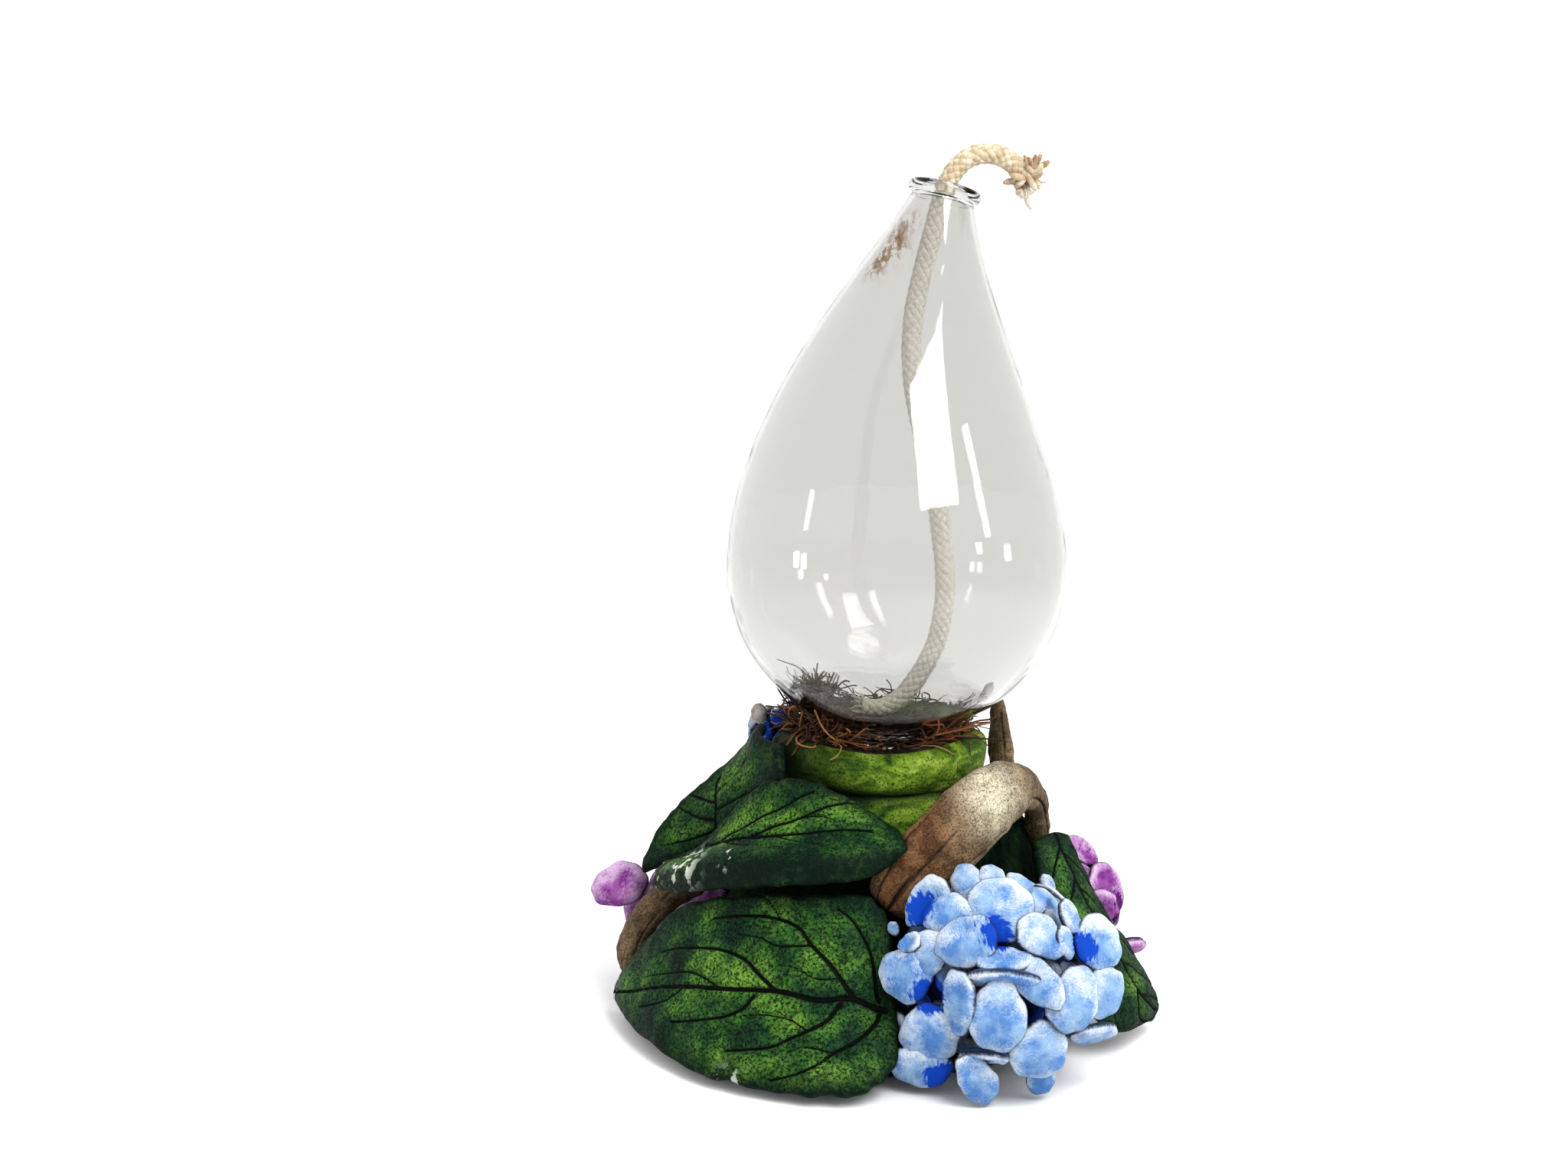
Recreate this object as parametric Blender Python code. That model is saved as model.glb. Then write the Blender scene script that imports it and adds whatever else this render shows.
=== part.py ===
"""Teardrop glass oil lamp in a hand-modelled clay hydrangea base.

A blown teardrop font with an open, leaning neck stands in a moss-lined clay collar. A round
braided wick runs from the floor of the font out of its mouth. The base is built up from clay
leaves, branches and three flower heads around a core on a round slab.
Lengths in the tables are millimetres; +X is right, +Y is away from the front, +Z is up.
"""

import math

import bmesh
import bpy
from mathutils import Vector
from mathutils.bvhtree import BVHTree

MM = 0.001
GAP = 0.3

# Font: an elliptic lower half, a drawn-out upper half and a flanged mouth.
BELLY_Z = 132.0
BELLY_RADIUS = 49.6
BELLY_DEPTH = 48.9
NECK_Z = 238.0
NECK_RADIUS = 9.0
SHOULDER_PULL = (BELLY_RADIUS, 168.0)
NECK_PULL = (18.5, 212.0)
WALL = 1.5
FLOOR_DEPTH = 46.5
AXIS_X = 7.2
MOUTH_Z = 240.0
MOUTH_LEAN = 13.4
FOOT_Z = 77.5
FOOT_RADIUS = 10.9
FOOT_SHIFT = 3.0
SEAT_Z = 97.0
BORE_RADIUS = 6.5
FLANGE_RADIUS = 10.6
FONT_SIDES = 24

# Wick: one braided rope from the font's floor, out of the mouth and over to the right.
WICK_DIAMETER = 5.8
WICK_STEP = 11.5
WICK_ROUTE = (
    (-3.5, -6.0, 91.0),
    (3.0, -4.5, 90.4),
    (9.0, -3.4, 93.5),
    (14.2, -2.8, 100.5),
    (18.6, -2.6, 109.0),
    (20.8, -2.6, 119.0),
    (21.4, -2.6, 130.0),
    (20.2, -2.6, 141.0),
    (18.6, -2.6, 153.0),
    (15.2, -2.6, 168.0),
    (12.0, -2.6, 183.0),
    (11.1, -2.6, 195.0),
    (11.9, -2.6, 206.0),
    (14.2, -2.6, 217.0),
    (17.3, -2.7, 229.0),
    (20.2, -2.8, 239.5),
    (23.0, -3.4, 245.3),
    (27.6, -4.4, 249.0),
    (33.6, -5.2, 249.6),
    (39.0, -6.0, 247.0),
    (42.4, -6.8, 242.6),
)

# Collar, the folded neck under it, the core and the slab share one axis.
COLLAR_X = 2.5
COLLAR_INNER = 24.0
COLLAR_OUTLINE = ((70.0, 27.0), (70.6, 29.6), (74.0, 31.4), (79.0, 32.0), (82.8, 30.6), (84.3, 27.6))
FOLD_OUTLINE = ((53.5, 29.0), (57.0, 32.4), (63.0, 33.0), (68.0, 31.4), (69.7, 28.5))
CORE_OUTLINE = ((7.0, 50.0), (20.0, 49.0), (36.0, 44.0), (53.2, 36.0))
CORE_HOLLOW = 0.31
CORE_HOLLOW_SPREAD = 22.0
SLAB_OUTLINE = ((0.0, 55.0), (1.5, 57.0), (5.2, 57.0), (6.7, 55.0))
ROUND_SIDES = 32

LEAF_THICKNESS = 2.6
PETAL_SIDES = 10
PETAL_THICKNESS = 2.8

# The mound that the leaves lie on: height and radius.
MOUND = ((0.0, 77.0), (20.0, 67.0), (50.0, 48.0), (62.0, 42.0), (84.0, 34.0))


def material(name, colour, roughness, transmission=0.0):
    made = bpy.data.materials.new(name)
    made.use_nodes = True
    shader = made.node_tree.nodes["Principled BSDF"]
    shader.inputs["Base Color"].default_value = (*colour, 1.0)
    shader.inputs["Roughness"].default_value = roughness
    shader.inputs["Metallic"].default_value = 0.0
    shader.inputs["Transmission Weight"].default_value = transmission
    return made


def place(name, vertices, faces, finish, parent=None):
    """A closed mesh object from millimetre points, its faces turned outwards."""
    mesh = bpy.data.meshes.new(name)
    mesh.from_pydata([Vector(v) * MM for v in vertices], [], faces)
    work = bmesh.new()
    work.from_mesh(mesh)
    bmesh.ops.recalc_face_normals(work, faces=work.faces)
    if work.calc_volume(signed=True) < 0:
        bmesh.ops.reverse_faces(work, faces=work.faces)
    work.to_mesh(mesh)
    work.free()
    mesh.shade_smooth()
    mesh.set_sharp_from_angle(angle=math.radians(50))
    made = bpy.data.objects.new(name, mesh)
    made.data.materials.append(finish)
    bpy.context.scene.collection.objects.link(made)
    if parent:
        made.parent = parent
        made.matrix_parent_inverse = parent.matrix_world.inverted()
    return made


def catmull(points, amount):
    """The point at 0 to 1 along a smooth curve through the points."""
    count = len(points) - 1
    at = min(max(amount, 0.0), 1.0) * count
    index = min(int(at), count - 1)
    t = at - index
    p1, p2 = Vector(points[index]), Vector(points[index + 1])
    p0 = Vector(points[index - 1]) if index else p1 * 2 - p2
    p3 = Vector(points[index + 2]) if index + 2 <= count else p2 * 2 - p1
    return 0.5 * (
        2 * p1 + (p2 - p0) * t + (2 * p0 - 5 * p1 + 4 * p2 - p3) * t**2 + (3 * p1 - p0 - 3 * p2 + p3) * t**3
    )


def even_points(route, step):
    """Points of the smooth curve through the route, one step apart."""
    fine = [catmull(route, i / 800) for i in range(801)]
    lengths = [0.0]
    for a, b in zip(fine, fine[1:]):
        lengths.append(lengths[-1] + (b - a).length)
    count = max(2, round(lengths[-1] / step))
    found, index = [], 0
    for i in range(count + 1):
        want = lengths[-1] * i / count
        while index < 799 and lengths[index + 1] < want:
            index += 1
        span = lengths[index + 1] - lengths[index]
        found.append(fine[index].lerp(fine[index + 1], (want - lengths[index]) / span))
    return found


def bridge(loops):
    """Vertices and faces of a closed body through loops of equal length, with a fan at each end."""
    sides = len(loops[0])
    vertices = [tuple(v) for loop in loops for v in loop]
    faces = []
    for row in range(len(loops) - 1):
        for i in range(sides):
            j = (i + 1) % sides
            a, b = row * sides, (row + 1) * sides
            faces.append((a + i, a + j, b + j, b + i))
    for loop_start, flip in ((0, True), ((len(loops) - 1) * sides, False)):
        centre = len(vertices)
        ring = vertices[loop_start : loop_start + sides]
        vertices.append(tuple(sum(v[k] for v in ring) / sides for k in range(3)))
        for i in range(sides):
            a, b = loop_start + i, loop_start + (i + 1) % sides
            faces.append((centre, b, a) if flip else (centre, a, b))
    return vertices, faces


def ring(centre, radius, sides, lean=0.0):
    """A circle about a vertical axis, dipped towards +X by the lean angle."""
    loop = []
    for i in range(sides):
        turn = math.tau * i / sides
        across = radius * math.cos(turn)
        loop.append(
            (
                centre[0] + across * math.cos(lean),
                centre[1] + radius * math.sin(turn),
                centre[2] - across * math.sin(lean),
            )
        )
    return loop


# Font ------------------------------------------------------------------------------------------


def font_centre(z):
    """Where the font's bent axis is at a height."""
    if z > BELLY_Z:
        return AXIS_X + MOUTH_LEAN * ((z - BELLY_Z) / (MOUTH_Z - BELLY_Z)) ** 2
    below = max(0.0, (SEAT_Z - z) / (SEAT_Z - FOOT_Z))
    return AXIS_X - FOOT_SHIFT * below**1.5


def font_lean(z):
    above = max(0.0, z - BELLY_Z)
    return math.atan(2 * MOUTH_LEAN * above / (MOUTH_Z - BELLY_Z) ** 2)


def shoulder(t, inset):
    """Height and radius of the drawn-out upper half, a cubic from belly to neck."""
    pulls = ((BELLY_RADIUS, BELLY_Z), SHOULDER_PULL, NECK_PULL, (NECK_RADIUS, NECK_Z))
    weights = ((1 - t) ** 3, 3 * t * (1 - t) ** 2, 3 * t**2 * (1 - t), t**3)
    radius = sum(w * p[0] for w, p in zip(weights, pulls)) - inset
    height = sum(w * p[1] for w, p in zip(weights, pulls))
    return height, radius


def font_outline():
    """Height and radius from the foot, up the outside, over the flange and down the inside."""
    outline = [(FOOT_Z, FOOT_RADIUS - 0.8), (FOOT_Z + 0.9, FOOT_RADIUS), (FOOT_Z + 4.5, FOOT_RADIUS + 0.5)]
    for degrees in (16, 28, 40, 52, 64, 77, 90):
        turn = math.radians(degrees)
        outline.append((BELLY_Z - BELLY_DEPTH * math.cos(turn), BELLY_RADIUS * math.sin(turn)))
    outline += [shoulder(t / 10, 0.0) for t in range(1, 11)]
    outline += [
        (MOUTH_Z - 1.2, FLANGE_RADIUS - 0.5),
        (MOUTH_Z - 0.6, FLANGE_RADIUS),
        (MOUTH_Z + 0.6, FLANGE_RADIUS),
        (MOUTH_Z + 1.2, FLANGE_RADIUS - 0.8),
        (MOUTH_Z + 1.2, BORE_RADIUS + 1.2),
        (MOUTH_Z + 0.4, BORE_RADIUS + 0.2),
        (NECK_Z - 1.0, BORE_RADIUS),
    ]
    inside = [shoulder(t / 10, WALL) for t in range(9, 0, -1)]
    outline += [point for point in inside if point[1] > BORE_RADIUS + 0.3]
    for degrees in (90, 77, 64, 52, 40, 28, 16, 7):
        turn = math.radians(degrees)
        outline.append((BELLY_Z - FLOOR_DEPTH * math.cos(turn), (BELLY_RADIUS - WALL) * math.sin(turn)))
    return outline


def make_font(parent):
    loops = []
    for z, radius in font_outline():
        loops.append(ring((font_centre(z), 0.0, z), radius, FONT_SIDES, font_lean(z)))
    glass = material("clear_glass", (0.92, 0.94, 0.94), 0.03, 0.95)
    return place("font_glass", *bridge(loops), glass, parent)


def font_underside(x, y):
    """Height of the font's outer surface over a point of its lower half."""
    away = min(1.0, math.hypot(x - AXIS_X + 1.5, y) / BELLY_RADIUS)
    return BELLY_Z - BELLY_DEPTH * math.sqrt(1 - away**2)


# Wick ------------------------------------------------------------------------------------------


def make_wick(parent):
    cotton = material("cotton_wick", (0.80, 0.72, 0.58), 0.9)
    curve = bpy.data.curves.new("wick", "CURVE")
    curve.dimensions = "3D"
    curve.bevel_depth = WICK_DIAMETER / 2 * MM
    curve.bevel_resolution = 2
    curve.use_fill_caps = True
    spline = curve.splines.new("POLY")
    route = even_points(WICK_ROUTE, WICK_STEP)
    spline.points.add(len(route) - 1)
    for knot, place_mm in zip(spline.points, route):
        knot.co = (*(place_mm * MM), 1.0)
    made = bpy.data.objects.new("wick", curve)
    made.data.materials.append(cotton)
    bpy.context.scene.collection.objects.link(made)
    made.parent = parent
    made.matrix_parent_inverse = parent.matrix_world.inverted()

    # The outer end is unravelled and scorched: a lump that starts where the rope ends.
    end, before = Vector(WICK_ROUTE[-1]), Vector(WICK_ROUTE[-2])
    along = (end - before).normalized()
    side = along.cross(Vector((0, 1, 0))).normalized()
    out = along.cross(side)
    loops = []
    for far, radius in ((0.9, 2.6), (3.0, 4.6), (7.0, 5.2), (10.5, 4.4), (12.5, 2.4)):
        centre = end + along * far + side * (-0.10 * far)
        loops.append(
            [centre + radius * (side * math.cos(a) + out * math.sin(a)) for a in turns(8)]
        )
    scorched = material("scorched_cotton", (0.55, 0.36, 0.20), 0.95)
    place("wick_frayed_end", *bridge(loops), scorched, parent)


def turns(count):
    return [math.tau * i / count for i in range(count)]


# Base body -------------------------------------------------------------------------------------


def turned(name, outline, finish):
    """A solid of revolution about the collar's axis."""
    loops = [ring((COLLAR_X, 0.0, z), radius, ROUND_SIDES) for z, radius in outline]
    return place(name, *bridge(loops), finish)


def make_core(finish):
    """The lump of clay that everything is built up on, pressed in where the blue head sits."""
    towards_head = math.atan2(BLUE_CENTRE.y, BLUE_CENTRE.x - COLLAR_X)
    loops = []
    for z, radius in CORE_OUTLINE:
        loop = []
        for a in turns(ROUND_SIDES):
            off = math.degrees(math.remainder(a - towards_head, math.tau)) / CORE_HOLLOW_SPREAD
            reach = radius * (1 - CORE_HOLLOW * math.exp(-(off**2)))
            loop.append((COLLAR_X + reach * math.cos(a), reach * math.sin(a), z))
        loops.append(loop)
    return place("clay_core", *bridge(loops), finish)


def make_collar(finish):
    """An open ring: up its outer side, over the lip and down its inner side."""
    inner = ((83.4, COLLAR_INNER + 0.6), (81.5, COLLAR_INNER), (70.0, COLLAR_INNER))
    outline = COLLAR_OUTLINE + inner
    sides = ROUND_SIDES
    vertices, faces = [], []
    for z, radius in outline:
        vertices += [(COLLAR_X + radius * math.cos(a), radius * math.sin(a), z) for a in turns(sides)]
    rows = len(outline)
    for row in range(rows):
        a, b = row * sides, (row + 1) % rows * sides
        for i in range(sides):
            j = (i + 1) % sides
            faces.append((a + i, a + j, b + j, b + i))
    return place("clay_collar", vertices, faces, finish)


def make_nest(finish):
    """The moss pad: flat below, dished to the font above, with a seat for the font's foot."""
    bottom, outer = COLLAR_OUTLINE[0][0], COLLAR_INNER - GAP
    foot_x = font_centre(FOOT_Z) - COLLAR_X
    seat = FOOT_RADIUS + 2.2

    def height(x, y):
        if math.hypot(x - foot_x, y) < seat:
            return FOOT_Z - GAP
        return min(font_underside(x + COLLAR_X, y) - 1.6, 85.5)

    def loop(radius, high, shift=0.0):
        made = []
        for a in turns(ROUND_SIDES):
            x, y = radius * math.cos(a) + shift, radius * math.sin(a)
            made.append((COLLAR_X + x, y, height(x, y) if high else bottom))
        return made

    loops = [
        loop(outer, False),
        [(x, y, min(z, 83.0)) for x, y, z in loop(outer, True)],
        loop(outer - 1.8, True),
        loop(19.0, True, 0.4),
        loop(seat + 1.2, True, foot_x),
        loop(seat - GAP, True, foot_x),
    ]
    return place("moss_nest", *bridge(loops), finish)


# Leaves ----------------------------------------------------------------------------------------


def sheet(name, rails, finish, rows=14, columns=8, thickness=LEAF_THICKNESS):
    """A leaf: a smooth surface through rails that run from its base to its tip, thickened."""
    grid = []
    for row in range(rows + 1):
        across = [catmull(rail, row / rows) for rail in rails]
        grid.append([catmull(across, column / columns) for column in range(columns + 1)])

    def normal(r, c):
        down = grid[min(r + 1, rows)][c] - grid[max(r - 1, 0)][c]
        side = grid[r][min(c + 1, columns)] - grid[r][max(c - 1, 0)]
        return down.cross(side).normalized()

    half = thickness / 2
    width = columns + 1
    top, under = [], []
    for r in range(rows + 1):
        for c in range(width):
            edge = c in (0, columns) or r in (0, rows)
            rise = normal(r, c) * (half * (0.6 if edge else 1.0))
            top.append(tuple(grid[r][c] + rise))
            under.append(tuple(grid[r][c] - rise))
    count = len(top)
    faces = []
    for r in range(rows):
        for c in range(columns):
            a, b = r * width + c, (r + 1) * width + c
            faces.append((a, a + 1, b + 1, b))
            faces.append((count + a, count + b, count + b + 1, count + a + 1))
    border = [(0, c) for c in range(columns)] + [(r, columns) for r in range(rows)]
    border += [(rows, c) for c in range(columns, 0, -1)] + [(r, 0) for r in range(rows, 0, -1)]
    ids = [r * width + c for r, c in border]
    for a, b in zip(ids, ids[1:] + ids[:1]):
        faces.append((a, count + a, count + b, b))
    return place(name, top + under, faces, finish)


LEAF_FRONT = (
    ((3.5, -57.0, 30.0), (2.5, -51.5, 43.0), (-4.0, -49.5, 48.5), (-20.0, -47.0, 48.5),
     (-38.0, -38.5, 45.5), (-54.0, -24.0, 38.0), (-65.0, -15.0, 24.0), (-74.6, -6.5, 8.6)),
    ((4.0, -60.0, 22.0), (-3.0, -61.5, 23.0), (-12.0, -62.5, 24.0), (-26.0, -59.0, 24.5),
     (-40.0, -52.5, 23.0), (-54.0, -42.0, 19.5), (-67.0, -26.0, 13.0), (-75.0, -8.0, 7.2)),
    ((4.0, -63.0, 14.0), (3.0, -70.0, 7.0), (-4.0, -76.0, 3.4), (-18.0, -76.5, 1.9),
     (-35.5, -69.0, 1.9), (-50.5, -57.5, 2.4), (-63.5, -38.0, 4.0), (-75.0, -9.5, 5.6)),
)
LEAF_MIDDLE = (
    ((-60.0, -8.0, 45.5), (-47.5, -14.0, 53.0), (-38.5, -18.5, 65.0), (-28.0, -26.0, 75.5),
     (-17.0, -34.5, 76.0), (-6.0, -37.5, 70.5), (5.5, -43.0, 63.5)),
    ((-61.0, -11.0, 44.6), (-50.5, -21.5, 51.0), (-39.0, -31.0, 57.0), (-26.5, -38.5, 61.5),
     (-14.5, -43.5, 64.5), (-3.5, -45.5, 64.0), (6.5, -46.0, 62.4)),
    ((-62.0, -13.5, 43.0), (-52.5, -28.0, 49.5), (-39.0, -41.5, 55.5), (-24.5, -50.5, 58.5),
     (-12.0, -53.5, 59.5), (-1.0, -51.5, 59.8), (7.4, -48.0, 61.2)),
    ((-62.5, -13.5, 40.0), (-54.0, -28.5, 42.5), (-40.0, -43.0, 47.5), (-25.0, -52.5, 51.0),
     (-12.0, -55.5, 52.5), (-0.5, -53.0, 54.5), (7.6, -48.5, 60.0)),
)
LEAF_LEFT = (
    ((-31.0, 1.0, 85.5), (-37.0, 4.0, 77.0), (-46.0, 6.0, 69.0), (-55.0, 6.0, 62.0), (-62.0, 4.0, 54.0),
     (-66.5, 1.0, 44.5)),
    ((-32.5, -9.0, 84.0), (-35.5, -10.5, 75.5), (-41.0, -9.0, 66.5), (-47.5, -6.5, 58.5), (-56.0, -3.5, 51.0),
     (-67.0, -1.5, 42.8)),
    ((-30.0, -17.0, 82.0), (-30.5, -22.0, 75.0), (-33.0, -18.5, 66.5), (-39.0, -13.0, 57.5),
     (-51.0, -7.5, 49.5), (-67.0, -3.5, 42.2)),
)
LEAF_RIGHT = (
    ((45.5, -15.5, 53.5), (45.5, -27.0, 47.0), (48.5, -36.0, 36.0), (54.5, -43.0, 21.0), (63.5, -43.0, 8.0),
     (80.0, -24.0, 4.4)),
    ((52.5, -10.0, 55.5), (56.0, -16.0, 46.5), (61.5, -22.5, 35.0), (68.0, -28.0, 24.5), (75.0, -28.5, 13.0),
     (81.0, -20.0, 5.2)),
    ((57.5, -6.5, 54.0), (61.0, -8.5, 45.0), (66.5, -11.5, 34.0), (73.0, -14.5, 24.0), (79.0, -16.0, 14.5),
     (82.0, -17.5, 6.0)),
)


def mound_point(degrees, z, lift=0.0):
    """A point on the mound's skin at a compass angle and a height."""
    radius = MOUND[-1][1]
    for (low, wide), (high, narrow) in zip(MOUND, MOUND[1:]):
        if low <= z <= high:
            radius = wide + (narrow - wide) * (z - low) / (high - low)
    turn = math.radians(degrees)
    return ((radius + lift) * math.cos(turn), (radius + lift) * math.sin(turn), z)


def mound_rails(base, tip, half_width, lift, crown=3.0):
    """Rails of a leaf laid on the mound from base to tip, both given as (degrees, height)."""
    rails = []
    for side in (-1, 0, 1):
        rail = []
        for step in range(8):
            s = step / 7
            spread = half_width * side * math.sin(math.pi * (0.08 + 0.88 * s) ** 0.85)
            angle = base[0] + (tip[0] - base[0]) * s
            height = base[1] + (tip[1] - base[1]) * s
            run = math.hypot(tip[0] - base[0], tip[1] - base[1])
            angle -= spread * (tip[1] - base[1]) / run
            height += spread * (tip[0] - base[0]) / run * 0.8
            rail.append(mound_point(angle, min(max(height, 1.6), 83.0), lift + (crown if side == 0 else 0.0)))
        rails.append(rail)
    return rails


# Base and tip as (degrees, height), half-width, lift off the mound.
LAID_LEAVES = {
    "leaf_back_right": ((84.0, 45.0), (36.0, 6.0), 23.0, -3.0),
    "leaf_back_left": ((101.0, 44.0), (135.0, 5.0), 20.0, -2.0),
    "leaf_back_upper": ((64.0, 75.0), (126.0, 50.0), 20.0, 4.0),
    "leaf_side_left": ((140.0, 66.0), (176.0, 44.0), 15.0, -3.0),
}


# Branches --------------------------------------------------------------------------------------


def branch(name, spine, finish, sides=10, rows=16):
    """A flattened branch: each spine row is x, y, z, half-width, half-thickness, and its flat
    side faces away from the collar's axis."""
    loops = []
    for row in range(rows + 1):
        s = row / rows
        here = catmull([p[:3] for p in spine], s)
        size = catmull([(p[3], p[4], 0.0) for p in spine], s)
        ahead = catmull([p[:3] for p in spine], min(1.0, s + 0.01))
        behind = catmull([p[:3] for p in spine], max(0.0, s - 0.01))
        along = (ahead - behind).normalized()
        out = Vector((here.x - COLLAR_X, here.y, 12.0)).normalized()
        out = (out - along * out.dot(along)).normalized()
        side = along.cross(out)
        loops.append(
            [here + side * (size.x * math.cos(a)) + out * (size.y * math.sin(a)) for a in turns(sides)]
        )
    return place(name, *bridge(loops), finish)


BRANCHES = {
    "branch_arch": (
        (9.0, -45.5, 52.0, 8.6, 3.2),
        (17.5, -44.0, 60.0, 10.2, 3.6),
        (27.0, -38.5, 67.5, 10.4, 4.0),
        (36.0, -29.0, 71.5, 8.8, 4.2),
        (43.5, -17.0, 70.0, 6.0, 4.2),
        (48.0, -7.5, 63.0, 4.0, 3.8),
        (49.3, -2.5, 55.0, 3.6, 3.4),
        (49.6, 0.5, 46.0, 3.6, 3.2),
    ),
    "branch_upright": (
        (41.5, 13.0, 58.0, 4.8, 3.4),
        (41.5, 15.0, 68.0, 4.8, 3.6),
        (41.0, 17.5, 76.0, 4.6, 3.6),
        (40.6, 20.0, 84.0, 2.8, 2.6),
        (40.4, 21.5, 90.6, 1.6, 1.5),
    ),
    "root_left": (
        (-50.0, 3.0, 37.5, 4.2, 3.4),
        (-58.5, 2.5, 34.0, 6.4, 4.2),
        (-66.5, 2.0, 27.0, 7.4, 4.6),
        (-71.0, 2.5, 17.0, 6.2, 4.2),
        (-70.5, 5.5, 7.0, 4.0, 3.4),
    ),
    "root_back": (
        (-0.5, 51.0, 30.0, 3.0, 2.8),
        (-1.5, 58.5, 23.0, 3.8, 3.2),
        (-1.5, 65.5, 14.5, 4.4, 3.6),
        (0.0, 70.0, 5.5, 3.6, 3.2),
    ),
}


# Flower heads ----------------------------------------------------------------------------------


def petal(centre, facing, roll, long, wide, cup, thick, scale=1.0):
    """Vertices and faces of one clay petal, a rounded pad that is wider at its outer end.

    facing is the direction that its broad side looks; roll turns its outer end from straight up
    towards +X; a positive cup lifts the edge and a negative one lets it droop."""
    facing = Vector(facing).normalized()
    up = Vector((0, 0, 1)) - facing * facing.z
    up = up.normalized() if up.length > 0.05 else Vector((0, 1, 0))
    right = up.cross(facing) * -1
    tip = up * math.cos(math.radians(roll)) + right * math.sin(math.radians(roll))
    side = facing.cross(tip)
    long, wide, thick = long * scale, wide * scale, thick * (0.5 + 0.5 * scale)

    def point(radial, turn, level):
        along = math.cos(turn) * radial
        across = math.sin(turn) * radial * (0.97 + 0.14 * math.cos(turn))
        lift = cup * radial**2 * scale + level
        return Vector(centre) + tip * (along * long) + side * (across * wide) + facing * lift

    loops = []
    for level, radials in ((-1, (0.62,)), (0, (1.0,)), (1, (0.62,))):
        for radial in radials:
            height = level * thick / 2
            loops.append([point(radial, a, height) for a in turns(PETAL_SIDES)])
    vertices, faces = bridge(loops)
    vertices[-2] = tuple(point(0.0, 0.0, -thick / 2))
    vertices[-1] = tuple(point(0.0, 0.0, thick / 2))
    return vertices, faces


class HeadBuilder:
    """Places petals so that none cuts a piece that is already there."""

    LIFTS = (0.0, 0.8, 1.6, -0.8, 2.4, 3.2)
    SCALES = (1.0, 0.94, 0.88, 0.82, 0.76, 0.70, 0.64, 0.58)

    def __init__(self, neighbours):
        self.trees = [self.tree_of(o) for o in neighbours]

    @staticmethod
    def tree_of(made):
        matrix = made.matrix_world
        points = [matrix @ v.co for v in made.data.vertices]
        return BVHTree.FromPolygons([p / MM for p in points], [tuple(p.vertices) for p in made.data.polygons])

    def clear(self, vertices, faces):
        tree = BVHTree.FromPolygons([Vector(v) for v in vertices], faces)
        return not any(tree.overlap(other) for other in self.trees)

    def add(self, name, finish, centre, facing, roll, long, wide, cup, thick):
        facing = Vector(facing).normalized()
        for scale in self.SCALES:
            for lift in self.LIFTS:
                at = Vector(centre) + facing * lift
                margin = petal(at, facing, roll, long + GAP, wide + GAP, cup, thick + 2 * GAP, scale)
                if min(v[2] for v in margin[0]) > 0.5 and self.clear(*margin):
                    made = place(name, *petal(at, facing, roll, long, wide, cup, thick, scale), finish)
                    self.trees.append(self.tree_of(made))
                    return made
        raise ValueError(f"{name} has no room")


BLUE_CENTRE = Vector((31.5, -49.0, 27.0))
BLUE_CORE_CENTRE = Vector((31.5, -52.0, 28.5))
BLUE_CORE = (24.0, 20.5, 21.3)
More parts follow.
